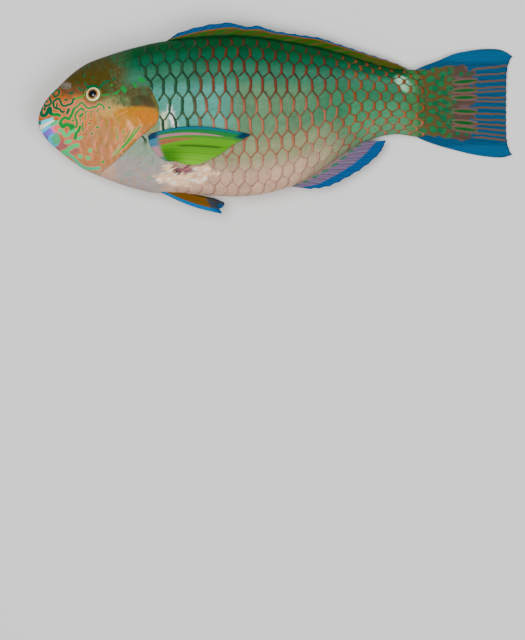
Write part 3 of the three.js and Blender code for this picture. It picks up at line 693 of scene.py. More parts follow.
@dataclass
class HeadMarkings:
    """Lines and patches on the head, read in side view. Each stroke is (half width, colour name, points)."""

    form: Form
    greens: dict[str, str] = field(default_factory=lambda: {
        "dark": "0d6e4c", "mid": "1a8f4a", "light": "4cb484", "leaf": "4f9c4c", "aqua": "40b094",
    })
    strokes: tuple = (
        (0.5, "mid", ((-126.2, 6), (-126.6, 8.2), (-129.9, 10), (-131.2, 8.9), (-132.4, 7.5),
            (-134.6, 7.7), (-136.9, 6.6), (-139.4, 7.7), (-141, 9.5), (-142.4, 10.9), (-143.7, 10.5),
            (-145.1, 8.6), (-146.9, 7.5), (-148.5, 6.4))),
        (0.75, "mid", ((-148.5, 6.4), (-149.6, 3.2), (-150.5, 1.4), (-152.1, -1.2), (-153.7, -0.5),
            (-155.1, 0), (-156.5, -1.1), (-158.3, -2.5))),
        (1.1, "mid", ((-158.3, -4.2), (-156.6, -6.8), (-155, -5.6), (-153, -5.2), (-151.2, -6.2),
            (-150.2, -8.6))),
        (0.8, "mid", ((-151.5, -5.6), (-149.3, -5.8), (-148.9, -7.4), (-150, -9))),
        (0.95, "light", ((-158.95, -9.3), (-156.9, -10), (-155.8, -12.3), (-154.2, -13.4),
            (-152.4, -12.6), (-150.5, -10.2), (-148.7, -9.8), (-146.9, -10.5))),
        (0.8, "mid", ((-146.9, -10.5), (-145.5, -10.5), (-144.6, -8.9), (-144, -7))),
        (0.9, "mid", ((-146.9, -10.5), (-146.9, -13.2), (-147.7, -15.3))),
        (0.55, "leaf", ((-140.1, 17.3), (-141.5, 15.9), (-144.2, 14.5), (-146.5, 13.9),
            (-148.3, 13.9))),
        (0.6, "dark", ((-148.3, 13.9), (-149.2, 12.7), (-149.6, 10.9), (-150.5, 10), (-153.3, 9.1),
            (-155.5, 8.4), (-157.4, 9.5), (-158.3, 11.8), (-159.2, 13.6), (-160.5, 13.9),
            (-162.4, 12.7), (-163.5, 11.4), (-163.5, 9.1), (-162.6, 7.3), (-160.5, 6.6), (-158.7, 5.9),
            (-157.8, 4.5), (-156.5, 3.9), (-155.7, 4.6))),
        (0.5, "dark", ((-161, 6.8), (-161, 9), (-161, 10.3))),
        (0.6, "dark", ((-164.9, 18), (-163.7, 17.4), (-163, 15.9), (-161.9, 15.5), (-160.1, 16.8),
            (-159.4, 18.6), (-160.1, 20.4), (-161.9, 20.2), (-163.5, 19.1), (-164.9, 18))),
        (0.6, "dark", ((-170, 12.3), (-170.8, 10), (-169.2, 8.9), (-167.4, 9.1), (-165.7, 10.2),
            (-165.3, 12.3), (-166.5, 13.6), (-166.2, 15.3))),
        (0.8, "dark", ((-168.8, 12),)),
        (1.0, "dark", ((-172.4, 6.8), (-173, 4.5), (-172.4, 2.4), (-170.8, 1.4), (-169.2, 2.2),
            (-168, 4.1), (-167.4, 5.9), (-166.3, 7), (-165.6, 5.5), (-166, 3.8), (-164.7, 2.6))),
        (0.95, "mid", ((-164.7, 2.6), (-162.8, 2.1), (-160.5, 2.3), (-159, 1.4))),
        (0.6, "dark", ((-170.1, 5.9), (-169.6, 8.6))),
        (0.55, "mid", ((-146.9, -7.3), (-146.1, -5), (-146.2, -2.7), (-147.4, 0), (-147.1, 2.3),
            (-145.8, 4.1), (-144.2, 5.7), (-142.6, 6.5), (-141.2, 5.2))),
        (0.7, "mid", ((-144, 0.7), (-142.1, 2.4))),
        (0.32, "mid", ((-137.4, 4.3), (-140.1, 4.2), (-139.4, 1.4), (-140.3, -1.8))),
        (0.3, "mid", ((-132.8, 4.5), (-136, 4.2), (-135.3, 1.4), (-136, -0.9))),
        (0.35, "mid", ((-131.2, 3.6), (-131.2, 5), (-129.4, 6.4))),
        (0.25, "leaf", ((-131.7, 1.4), (-131, -0.9), (-130.3, -3.6), (-130.1, -7.3))),
        (0.45, "mid", ((-141.9, -4.1), (-142, -6.8), (-141.7, -10.3))),
        (0.35, "mid", ((-144, -0.8), (-143.4, -2.6))),
        (0.7, "mid", ((-149.2, -2.3),)),
        (0.75, "dark", ((-152.1, 5.9), (-153.3, 3.4))),
        (0.8, "light", ((-145.3, -15.7), (-142.6, -14.5))),
        (1.1, "light", ((-153.9, -18), (-151.4, -17.4))),
        (1.1, "light", ((-145.6, -20.5), (-148.7, -20.9), (-151.5, -22.7), (-153.3, -24.1))),
        (1.3, "light", ((-153.3, -24.1), (-155.1, -25.7), (-156.5, -25.5))),
        (0.8, "aqua", ((-154.6, -26.4), (-151.5, -27.6), (-149.2, -29.4), (-146.9, -31.8),
            (-144.2, -34.5), (-140.8, -36.8), (-135.2, -37.6), (-130, -37))),
        (1.0, "light", ((-144.6, -28.3), (-143.2, -28.6))),
        (0.9, "light", ((-138.7, -29.5), (-137.3, -30))),
        (1.1, "light", ((-136.5, -24.3),)),
        (0.55, "mid", ((-135.1, -11.4), (-135, -12.4))),
        (0.4, "mid", ((-138, -4.1), (-135.8, -4.9))),
        (0.45, "mid", ((-132, -7.2), (-130.2, -7.6))),
        (0.55, "dark", ((-145.8, 25.9),)),
        (0.4, "dark", ((-140.4, 32.4), (-141.3, 29.6))),
        (0.65, "dark", ((-134.2, 29.5),)),
        (0.6, "dark", ((-139.6, 40.5),)),
        (0.6, "dark", ((-141.2, 36.2),)),
        (0.6, "dark", ((-137.8, 38.2),)),
        (0.6, "dark", ((-149.2, 18.4), (-151.5, 17.7))),
        (0.55, "dark", ((-156.9, 16.5),)),
        (0.6, "dark", ((-155, 13), (-153.4, 13.1))),
        (0.5, "dark", ((-151.4, 14.3),)),
        (0.45, "dark", ((-156, 22.7),)),
        (0.45, "dark", ((-152.6, 21.8),)),
        (0.45, "dark", ((-159.2, 22.7),)),
        (0.45, "dark", ((-140.2, 25.8), (-139.4, 24), (-137.8, 22.6))),
        (0.45, "dark", ((-144.7, 22), (-144, 20.7), (-142.4, 20.2), (-140.2, 20.1))),
        (0.55, "dark", ((-129.4, 21.2), (-127.8, 23.8), (-126, 25.7), (-124.4, 26.4), (-122.2, 26.9))),
        (0.5, "mid", ((-129.2, 15.4), (-127.4, 16.1), (-125.4, 16.4), (-122.2, 17))),
        (0.55, "mid", ((-119.2, 17.2), (-117, 17.9), (-115.4, 19.6))),
        (1.3, "mid", ((-112.4, 21.2), (-111, 19.8))),
        (0.7, "mid", ((-120.5, 23.6),)),
        (0.8, "dark", ((-119, 27.8),)),
        (0.8, "mid", ((-104.2, 25), (-103, 22.6))),
        (1.2, "mid", ((-99.6, 27.8), (-97.4, 27))),
        (0.7, "mid", ((-123.2, 11.2),)),
        (0.6, "mid", ((-123, 7), (-121.6, 7.2))),
        (0.6, "mid", ((-120.9, 14.4),)),
        (0.45, "leaf", ((-99.6, -6.4), (-102.2, -10.4), (-105.4, -14.6), (-108.6, -18.6),
            (-112.4, -22.6))),
        (0.4, "leaf", ((-103.2, -8.4), (-105.8, -12.6), (-109, -17.4), (-112.6, -21.6),
            (-116.6, -26.6))),
        (0.35, "mid", ((-106.8, -9.6), (-109.2, -14), (-111.6, -18))),
        (0.3, "light", ((-114.8, -20.6), (-117.6, -25.4), (-120.4, -28.6))),
        (0.45, "leaf", ((-117.4, -8.4), (-116.6, -12), (-116.2, -16.2))),
        (0.5, "leaf", ((-112, -9.6), (-111.4, -12))),
        (0.9, "leaf", ((-127.2, -32.6),)),
    )

    border: Points = (
        (-176, 26), (-163, 22), (-156, 17), (-150, 14.5), (-143, 13), (-134, 11.5), (-126, 10), (-118, 7),
        (-100, 7.5), (-80, 8),
    )
    cheek_streaks: tuple = (
        ("8c9054", 63, 0.5), ("b88a80", 64, 0.55), ("b4702c", 65, 0.45), ("ccaa90", 66, 0.35),
    )
    creases: tuple = (
        ("ccac84", ((-108.8, 4.4), (-116.4, 1.2), (-116.8, -2), (-118.8, -8.4))),
        ("ccac8c", ((-101.4, -0.4), (-99.8, -3.2), (-98, -6))),
    )
    swell: float = 1.3
    spread: float = 0.15

    def ink(self, x: Array, y: Array) -> tuple[Array, Array]:
        """The green lines.

        Args:
            x: length along the fish.
            y: height in side view.

        Returns:
            How far inside a line each point lies, in millimetres, and the line's colour there.
        """
        inside = np.full(x.shape, -1.0)
        tint = plain(x, self.greens["mid"])
        for half, name, line in self.strokes:
            depth = half * self.swell + self.spread - distance_to(x, y, rounded(line))
            better = depth > inside
            inside = np.where(better, depth, inside)
            tint[better] = colour(self.greens[name])
        return inside, tint

    def ground(self, x: Array, y: Array) -> Array:
        """The colour between the lines.

        Args:
            x, y: the points in side view.

        Returns:
            The colours.
        """
        border = np.interp(x, *zip(*self.border)) + 1.8 * waves(x, y, 16, 43)
        olive = ease((y - border + 2) / 6)
        base = self.nape(x, y, self.face(x, y), y - border, olive)
        base = self.gill_cover(x, y, base)
        speck = ease(waves(x, y, 2.2, 62) * 2 - 0.9)
        base = painted(base, (
            ("5e4c30", ease(waves(x, y, 3.2, 61) * 1.6) * olive * ease((x + 128) / 10) * 0.6),
            ("74846c", speck * ease((x + 126) / 10) * ease((y - border - 4) / 6) * 0.35),
        ))
        cheek = ease((6 - y) / 6) * ease((x + 152) / 8) * ease((y + 36) / 8)
        cheek = cheek * (1 - 0.8 * spot(x, y, (-98, 0), (12, 7), 0.6))
        for code, seed, share in self.cheek_streaks:
            streaks = ease(waves(1.9 * x + 3 * np.sin(y / 4), 0.6 * y, 8, seed) * 1.3 - 0.4)
            base = layered(base, colour(code), streaks * cheek * share)
        return self.mouth(x, y, base * (1 + 0.08 * waves(x, y, 5, 3)[..., None]))

    def face(self, x: Array, y: Array) -> Array:
        """The ochre and pink grounds of snout, cheek and chin."""
        return painted(plain(x, "a88048"), (
            ("a08844", spot(x, y, (-127, -4), (9, 12), 0.6) * 0.8),
            ("ac8a66", spot(x, y, (-134, -24), (26, 13), 0.6) * 0.75),
            ("ac7434", ease((-147 - x) / 8) * ease((y + 24) / 8)),
            ("b08030", spot(x, y, (-142, 1), (8, 7), 0.5) * 0.8),
            ("b08864", spot(x, y, (-137, 8.5), (14, 4), 0.5)),
            ("b07c6c", spot(x, y, (-153, -15), (8, 5), 0.6) * 0.8),
            ("a07274", spot(x, y, (-156, -23), (9, 4.5), 0.6) * 0.85),
        ))

    def nape(self, x: Array, y: Array, base: Array, over: Array, olive: Array) -> Array:
        """The dark olive upper part of the head.

        Args:
            x, y: the points in side view.
            base: the colours below.
            over: how far each point lies over the border of the olive part.
            olive: 1 in the olive part.

        Returns:
            The colours.
        """
        return painted(base, (
            ("7c5c3e", olive),
            ("5a5026", ease((over - 5 + 0.12 * (x + 140)) / 8)),
            ("625c3a", ease((x + 124) / 10) * olive * 0.8),
            ("56583a", ease((x + 112) / 12) * olive * 0.7),
            ("565230", ease((y - 30) / 8) * ease((-118 - x) / 14)),
            ("8a827a", spot(x, y, (-154, 23.5), (3, 2), 0.6) * 0.8),
            ("2a6444", spot(x, y, (-106, 46), (14, 7), 0.6) * 0.85),
            ("8a9468", spot(x, y, (-117, 9), (9, 5), 0.9) * 0.6),
            ("46442c", spot(x, y, (-98, 11), (7, 4), 0.7) * 0.75),
            ("4a6c4a", ease(waves(x, y, 9, 44) * 1.4) * olive * ease((x + 132) / 12) * 0.55),
        ))

    def gill_cover(self, x: Array, y: Array, base: Array) -> Array:
        """The yellow and grey patches, the edge and the creases of the gill cover and the throat.

        Args:
            x, y: the points in side view.
            base: the colours below.

        Returns:
            The colours.
        """
        rim = self.form.gill_x(y) - x
        base = painted(base, (
            ("b8a05c", spot(x, y, (-118, 4), (9, 3.5), 0.7) * 0.7),
            ("a88420", spot(x, y, (-102, 0.8), (15, 6), 0.35)),
            ("ac7e18", spot(x, y, (-95, 0), (8, 3.8), 0.6)),
            ("ac8c3c", spot(x, y, (-110, -9), (8, 8), 0.6) * 0.8),
            ("b49070", spot(x, y, (-115, -18), (2.5, 6), 0.6) * 0.8),
            ("ccae94", spot(x + 0.4 * (y + 9), y, (-106, -9), (1.5, 5), 0.8) * 0.6),
            ("ac9c8c", ease((-34 - y) / 9) * ease((x + 150) / 14)),
            ("a4a09c", ease((-40 - y) / 8)),
            ("a07430", ease((3.2 - rim) / 1.2) * between(y, -27, -6, 3)),
            ("78723a", ease((3.4 - rim) / 2) * between(y, 5, 15, 3) * 0.8),
        ))
        for code, line in self.creases:
            away = distance_to(x, y, rounded(line))
            base = layered(base, colour(code), ease((0.6 - away) / 0.6) * 0.6)
        return base

    def mouth(self, x: Array, y: Array, base: Array) -> Array:
        """The bright bands and patches round the mouth.

        Args:
            x, y: the points in side view.
            base: the colours below.

        Returns:
            The colours.
        """
        base = painted(base, (
            ("c48ab0", spot(x, y, (-163.5, -8.6), (5, 4), 0.4)),
            ("8c7cba", spot(x + 0.35 * (y + 12), y, (-167.6, -11.6), (3.6, 4.2), 0.5)),
            ("8070a2", spot(x, y, (-168, -17), (4, 3), 0.6) * 0.8),
            ("d27e70", spot(x, y, (-159.6, -8), (2.8, 2.2), 0.5)),
            ("50b0c0", spot(x, y, (-163.6, -16.8), (3.8, 4.2), 0.35)),
        ))
        blob = spot(x + 0.8 * waves(x, y, 5, 45), y, (-161.6, -15.4), (2.6, 3.8), 0.4)
        base = layered(base, colour("62a87c"), blob * 0.9)
        lower = np.interp(x, [-176, -172, -168, -165, -162, -159], [-12.4, -9.6, -6.6, -4.6, -3.6, -3.2])
        band = between(y - lower, -1.5, 1.3, 0.5) * ease((-157.6 - x) / 1)
        base = painted(base, (
            ("4cbecb", band),
            ("4cb48c", band * ease((x + 167.5) / 2.5)),
        ))
        upper = np.interp(x, [-176, -173, -170, -166, -163], [-3.4, -3.6, -2.6, -1.4, -0.6])
        band = between(y - upper, -1.2, 0.9, 0.45) * ease((-163 - x) / 1.6)
        base = painted(base, (
            ("50c2cc", band),
            ("128c7c", band * ease((-172.2 - x) / 1)),
        ))
        lip = between(y - upper, -3.2, -1.7, 0.4) * ease((-164.5 - x) / 2)
        return layered(base, colour("d88460"), lip)


@dataclass
class Wound:
    """The torn place behind the breast."""

    centre: Pair = (-66, -42.5)
    length: float = 21
    height: float = 8.5
    depth: float = 1.6

    def mask(self, x: Array, y: Array) -> Array:
        """1 in the wound, with a ragged edge."""
        ragged = 0.2 * waves(x, y, 9, 21) + 0.12 * waves(x, y, 3.5, 22)
        level = self.centre[1] + 0.08 * (x + 64)
        reach = np.hypot((x - self.centre[0]) / self.length, (y - level) / self.height)
        return ease((1.05 + ragged - reach) / 0.16)

    def hollow(self, x: Array, y: Array) -> Array:
        """1 in the deep part of the wound."""
        ragged = 0.25 * waves(x, y, 5, 23)
        reach = np.hypot((x + 67.5) / 8.6, (y + 38.6) / 4.6)
        return ease((1.05 + ragged - reach) / 0.35)

    def relief(self, x: Array, y: Array) -> Array:
        """How far the torn flesh stands out of the flank."""
        torn = self.mask(x, y) * (0.55 * waves(x, y, 4, 24) + 0.3 * waves(x, y, 1.8, 25) - 0.3)
        return torn - self.hollow(x, y) * self.depth

    def dress(self, x: Array, y: Array, base: Array) -> Array:
        """The wound's colours.

        Args:
            x, y: the points in side view.
            base: the colours below.

        Returns:
            The colours.
        """
        mask = self.mask(x, y)
        base = painted(base, (
            ("c8b8a4", mask),
            ("e2dacb", mask * ease(waves(x, y, 5, 26)) * 0.8),
            ("a88672", mask * ease(waves(x, y, 6, 27) - 0.2) * 0.7),
        ))
        hollow = self.hollow(x, y)
        base = painted(base, (
            ("84606c", hollow),
            ("b48484", hollow * ease(waves(x, y, 3, 28)) * 0.6),
        ))
        # Painted shade: thin dark lines stand for the shade in the folds of the torn flesh.
        fold = ease((0.1 - np.abs(waves(x, y, 8, 29))) / 0.1) * ease((x + 70) / 6)
        base = layered(base, colour("6e5a50"), fold * mask * 0.55)
        # Painted shadow: a near-black line stands for the shade inside the torn gap.
        gap = ease((1.1 - distance_to(x, y, ((-75.6, -37.2), (-74.4, -40.4), (-70.6, -42.6)))) / 0.6)
        return layered(base, colour("241a18"), gap * mask)


@dataclass
class Eye:
    """One eye, with its ring of skin."""

    form: Form
    x: float = -134.3
    y: float = 17
    radius: float = 5.9
    depth: float = 3.4
    sunk: float = 1.6
    rim: float = 6.3

    def reach(self, x: Array, y: Array) -> Array:
        """The distance from the eye's middle in side view."""
        return np.hypot(x - self.x, y - self.y)

    def socket(self, x: Array, y: Array) -> Array:
        """How the skin rises in a ring round the eye and sinks under it."""
        r = self.reach(x, y)
        ring = 0.75 * np.exp(-(((r - self.rim) / 0.75) ** 2)) - 0.25 * np.exp(-(((r - 8.2) / 0.8) ** 2))
        return ring - 4.2 * ease((5.55 - r) / 0.5)

    def rise(self, dx: float, dy: float) -> float:
        """The flank's height over the middle plane, at (dx, dy) from the eye's middle."""
        return float(self.form.rise(np.array(self.x + dx), np.array(self.y + dy)))

    def axes(self, side: Side) -> tuple[Array, Array, Array, Array]:
        """The eye's middle and its three axes, the last one out of the head."""
        step = 0.5
        slope_x = (self.rise(step, 0) - self.rise(-step, 0)) / (2 * step)
        slope_y = (self.rise(0, step) - self.rise(0, -step)) / (2 * step)
        out = np.array([-slope_x, -slope_y, side.value], float)
        out /= np.linalg.norm(out)
        across = np.cross([0, 1, 0], out)
        across /= np.linalg.norm(across)
        height = float(self.form.middle_height(self.x)) + side.value * self.rise(0, 0)
        middle = np.array([self.x, self.y, height])
        return middle, across, np.cross(out, across), out

    def build(self, side: Side, finish: bpy.types.Material) -> bpy.types.Object:
        """The eyeball with iris, pupil and cornea.

        Args:
            side: which flank it is on.
            finish: its glossy finish.

        Returns:
            The eyeball as one closed piece.
        """
        rings, around = 60, 72
        middle, across, up, out = self.axes(side)
        a = np.linspace(-math.pi / 2, math.pi / 2, rings)[:, None]
        turn = np.linspace(0, 2 * math.pi, around, endpoint=False)[None, :]
        rest = math.pi / 2 - a
        a = np.where(a > 0, math.pi / 2 - rest * (0.25 + 0.75 * (1 - a / (math.pi / 2))), a)
        r = np.maximum(self.radius * np.cos(a), 0.02) + 0 * turn
        height = self.depth * np.sin(a) - self.sunk
        height = height + 0.45 * np.where(a > 0, np.exp(-((r / 2.9) ** 4)), 0)
        height = height - 0.12 * np.where(a > 0, np.exp(-(((r - 3.1) / 0.3) ** 2)), 0)
        px, py = r * np.cos(turn), r * np.sin(turn)
        points = middle + px[..., None] * across + py[..., None] * up + height[..., None] * out
        tint = self.iris(r, turn + 0 * r, a + 0 * r)
        faces = turned(grid_faces(rings, around, closed=True))
        faces.append(tuple(range(around))[::-1])
        faces.append(tuple(range((rings - 1) * around, rings * around)))
        name = f"eyeball_{side.name.lower()}"
        return piece(name, points.reshape(-1, 3), faces, finish, {"tint": tint.reshape(-1, 3)})

    def iris(self, r: Array, turn: Array, a: Array) -> Array:
        """The eyeball's colours.

        Args:
            r: distance from the pupil's middle.
            turn: angle round it.
            a: angle over the eyeball's rim, negative behind it.

        Returns:
            The colours.
        """
        rays = 0.5 + 0.5 * np.sin(turn * 23 + 2 * np.sin(turn * 7))
        base = painted(plain(r, "d4c8a4"), (
            ("dcd4b4", ease((r - 4.2) / 0.4)),
            ("b89c5c", (1 - ease((r - 3.9) / 0.4)) * (0.5 + 0.4 * rays)),
            ("4a3820", 1 - ease((r - 3.7) / 0.2)),
            ("a88448", 1 - ease((r - 3.35) / 0.15)),
            ("3c2c18", 1 - ease((r - 2.95) / 0.12)),
            ("0e1218", 1 - ease((r - 2.6) / 0.14)),
        ))
        glint = spot(r * np.cos(turn), r * np.sin(turn), (0.3, 0.4), (0.7, 0.7), 0.9)
        return painted(base, (
            ("24344a", glint * 0.5),
            ("2c5a3a", ease((r - 5.05) / 0.3)),
            ("20301f", np.where(a < 0, 1.0, 0.0)),
        ))


@dataclass
class Mouth:
    """Lips and the two tooth plates of the beak."""

    form: Form
    corner: Pair = (-160, -1.1)
    upper_edge: Points = ((-179, -7), (-173, -5.4), (-167, -3))
    lower_edge: Points = ((-179, -11.5), (-172, -8.6), (-166, -4.6))
    front: float = -172.0
    outer: float = -0.45
    inner: float = -2.2
    ridges: float = 150
    ridge_height: float = 0.07
    across: int = 12
    along: int = 161

    def __post_init__(self) -> None:
        """Lays the edges of the lips."""
        shares = np.linspace(0, 1, 40)
        self.upper_line = spline((*self.upper_edge, self.corner), shares)
        self.lower_line = spline((*self.lower_edge, self.corner), shares)

    def upper(self, x: Array) -> Array:
        """The height of the upper lip's edge at x."""
        return np.interp(x, self.upper_line[:, 0], self.upper_line[:, 1])

    def lower(self, x: Array) -> Array:
        """The height of the lower lip's edge at x."""
        return np.interp(x, self.lower_line[:, 0], self.lower_line[:, 1])

    def relief(self, x: Array, y: Array) -> Array:
        """How far the lips stand out, and how far the slot between them goes in."""
        inside = np.minimum(self.upper(x) - y, y - self.lower(x))
        past = -np.hypot(x - self.corner[0], y - self.corner[1])
        inside = np.where(x > self.corner[0], past, inside)
        fade = ease((self.corner[0] + 3 - x) / 4)
        lips = 0.6 * np.exp(-(((inside + 1.7) / 1.35) ** 2)) * fade
        furrow = -0.35 * np.exp(-(((inside + 4.2) / 0.7) ** 2)) * fade
        return lips + furrow - 2.4 * ease((inside + 0.1) / 0.35) * fade

    def front_x(self, y: float, grow: float) -> float:
        """Where the snout's surface meets the middle plane at height y."""
        x = np.linspace(-177, -160, 1500)
        v = self.form.share(x, np.full(x.shape, y))
        width = (self.form.half_width(x) + grow) * (1 - v * v) ** self.form.roundness(v)
        reached = (width > 0.15) & (np.abs(v) < 0.999)
        return float(x[np.argmax(reached)])

    def plate_rows(self, upper: bool, grow: float, ridge: float) -> list[Array]:
        """The rows of points of one face of a tooth plate.

        Args:
            upper: whether it is the upper plate.
            grow: how far the face lies outside the snout's surface.
            ridge: how high its tooth ridges are.

        Returns:
            The rows, from the biting edge inwards, each from corner to corner of the mouth.
        """
        way = np.linspace(-1, 1, self.along)
        q = np.abs(way)
        teeth = ridge * np.sin(way * self.ridges)
        gape = self.upper(self.front) - self.lower(self.front)
        rows = []
        for i in range(self.across):
            share = i / (self.across - 1)
            share = 0.52 + 0.56 * share if upper else 0.48 - 0.56 * share
            front = self.front_x(float(self.lower(self.front) + share * gape), grow)
            x = front + (self.corner[0] - 2.4 - front) * q**1.6
            y = self.lower(x) + share * (self.upper(x) - self.lower(x))
            v = self.form.share(x, y)
            width = np.maximum(self.form.half_width(x) + grow + teeth, 0)
            width = width * (1 - v * v) ** self.form.roundness(v)
            z = self.form.middle_height(x) + np.sign(way) * width * np.where(q < 1e-6, 0, 1)
            rows.append(np.stack([x, y, z], -1))
        return rows

    def build(self, upper: bool, finish: bpy.types.Material) -> bpy.types.Object:
        """One tooth plate, from corner to corner of the mouth.

        Args:
            upper: whether it is the upper one.
            finish: its finish.

        Returns:
            The plate as one closed piece, its edge set with small tooth ridges.
        """
        rows = self.plate_rows(upper, self.outer, self.ridge_height) + self.plate_rows(upper, self.inner, 0)
        points = np.concatenate(rows)
        q = np.tile(np.linspace(-1, 1, self.along), 2 * self.across)
        edge = np.tile(np.repeat(np.linspace(0, 1, self.across), self.along), 2)
        tint = plain(q, "dcd3c0")
        tint = painted(tint, (
            ("f2ece0", (1 - edge) * 0.7),
            ("c9a48c", ease((edge - 0.7) / 0.3) * 0.5),
        ))
        # Painted light and shade: lighter on the crests of the tooth ridges and darker in the grooves between
        # them.
        tint = tint * (1 + 0.05 * np.sin(q * self.ridges))[:, None]
        name = "beak_upper_plate" if upper else "beak_lower_plate"
        faces = slab_faces(self.across, self.along)
        return piece(name, points, turned(faces) if upper else faces, finish, {"tint": tint})


@dataclass
class Skin:
    """The one skin of head, trunk and tail stalk."""

    form: Form
    eye: Eye
    mouth: Mouth
    wound: Wound
    head_columns: int = 165
    trunk_columns: int = 88
    lines: int = 360
    under_scales: float = 0.55
    flap: Points = (
        (-1.6, 0.0), (-1.1, 0.08), (-0.6, 0.08), (-0.25, -0.05),
        (-0.1, -0.4), (-0.3, -0.9), (0.0, -1.45), (0.5, -1.75),
    )
    nostrils: Points = ((-153.6, 22.8, 0.55), (-150, 24.4, 0.8))
    crease: Points = (
        (-104, 6.5), (-108.8, 4.8), (-116, 2), (-117.4, -2),
        (-118.8, -9), (-118.4, -18), (-119, -27), (-123, -34),
    )
    seam: Points = ((-101.4, 0), (-99.8, -3.2), (-103, -9), (-108, -16.5), (-114, -25))
    gill_depth: float = 1.1

    def opening(self, y: Array) -> Array:
        """How far the gill cover stands free at height y, from 0 to 1."""
        return ease((18 - y) / 5) * ease((y + 44) / 7)

    def sink(self, x: Array, y: Array) -> Array:
        """How deep the shoulder lies behind the gill cover."""
        behind = self.form.behind_gill(x, y)
        fade = np.exp(-((np.maximum(behind, 0) / 7) ** 2))
        return self.opening(y) * self.gill_depth * np.where(behind < 0, 1, fade)

    def head_relief(self, x: Array, y: Array) -> Array:
        """The fine shape of the head.

        Args:
            x, y: the points in side view.

        Returns:
            How far they stand out of the plain body form.
        """
        relief = self.eye.socket(x, y) + self.mouth.relief(x, y)
        for nx, ny, radius in self.nostrils:
            r = np.hypot(x - nx, y - ny)
            relief = relief - 1.1 * np.exp(-((r / radius) ** 4))
            relief = relief + 0.18 * np.exp(-(((r - 1.5 * radius) / 0.4) ** 2))
        crease = distance_to(x, y, rounded(self.crease))
        relief = relief - 0.5 * np.exp(-((crease / 0.8) ** 2))
        seam = distance_to(x, y, rounded(self.seam))
        relief = relief - 0.25 * np.exp(-((seam / 0.7) ** 2))
        cheek = spot(x, y, (-131, -12), (16, 17), 0.5)
        folds = np.sin((x + 0.45 * y) * 1.5 + 1.5 * waves(x, y, 14, 5)) * waves(x, y, 11, 6)
        relief = relief + cheek * (0.1 * folds + 0.14 * waves(x, y, 6, 7))
        nape = ease((x + 126) / 8) * ease((y - 8) / 6)
        relief = relief + nape * 0.16 * waves(x, y, 5.5, 8) + 0.05 * waves(x, y, 8, 9)
        throat = ease((-34 - y) / 6) * ease((x + 150) / 10)
        return relief + throat * 0.15 * np.sin((y + 0.35 * x) * 1.1)

    def gill_edge(self, v: Array) -> Array:
        """Where the gill cover's hind edge lies at share v of the half depth."""
        edge = np.full(v.shape, -95.0)
        for _ in range(30):
            edge = 0.5 * edge + 0.5 * self.form.gill_x(self.form.height_at(edge, v))
        return edge

    def stations(self, edge: Array) -> Array:
        """The lengths of all rows of points.

        Args:
            edge: where the gill cover's hind edge lies on each line of points.

        Returns:
            The rows of the head, then those of the gill cover's free edge and then those of the trunk.
        """
        front, end = self.form.snout_x + 0.02, self.form.end_x
        head, trunk = self.head_columns, self.trunk_columns
        rows = [front + (edge - 1.9 - front) * (i / head) ** 1.45 for i in range(head)]
        rows += [edge + offset for offset, _ in self.flap]
        rows += [edge + 0.5 + (end - edge - 0.5) * (i / trunk) ** 1.12 for i in range(1, trunk + 1)]
        return np.array(rows)

    def growth(self, x: Array, y: Array, v: Array, edge: Array) -> Array:
        """How far each point stands out of the plain body form.

        Args:
            x, y: the points, in rows from the snout to the tail.
            v: their shares of the half depth.
            edge: where the gill cover's hind edge lies on each line of points.

        Returns:
            The distances, which fade out on the back and the belly.
        """
        flap_start = self.head_columns
        flap_end = flap_start + len(self.flap)
        open_here = self.opening(self.form.height_at(edge, v[0]))
        flank = -self.under_scales * ease((self.form.behind_gill(x, y) - 0.4) / 3)
        grow = flank - self.sink(x, y) + self.wound.relief(x, y)
        grow[:flap_start] = self.head_relief(x[:flap_start], y[:flap_start])
        for i, (_, rise) in enumerate(self.flap, flap_start):
            grow[i] = rise * open_here - (1 - open_here) * 0.05
        grow = grow * (1 - v**8)
        grow[flap_start:flap_end] *= 0.9
        return grow

    def colours(
        self, markings: Markings, head: HeadMarkings, x: Array, y: Array,
    ) -> tuple[Array, Array, Array]:
        """The colours of the skin.

        Args:
            markings: the flank's colours.
            head: the head's lines and patches.
            x, y: the points.

        Returns:
            The ground colours, how far inside a line each point lies, and the colours of the lines.
        """
        on_head = self.form.behind_gill(x, y) < 0
        flank_tint = self.wound.dress(x, y, markings.flank(x, y))
        nape = ease((x + 118) / 16) * ease((y - 20) / 8)
        head_tint = head.ground(x, y) * (1 - nape[..., None]) + flank_tint * nape[..., None]
        tint = np.where(on_head[..., None], head_tint, flank_tint)
        rim = self.eye.reach(x, y)
        line, line_tint = head.ink(x, y)
        halo = ease((line + 0.95) / 0.7) * ease((15 - y) / 4)
        tint = painted(tint, (
            ("8a8450", between(rim, 5.2, 6.2, 0.35) * on_head * 0.8),
            ("0f6a40", between(rim, 5.0, 6.9, 0.4) * ease((y - 19.5) / 2) * on_head),
            ("5a4a24", between(rim, 6.9, 7.3, 0.3) * 0.6 * on_head),
            ("c09a7e", halo * on_head * 0.55),
        ))
        return tint, np.where(on_head & (rim >= 6.2), line, -1.0), line_tint

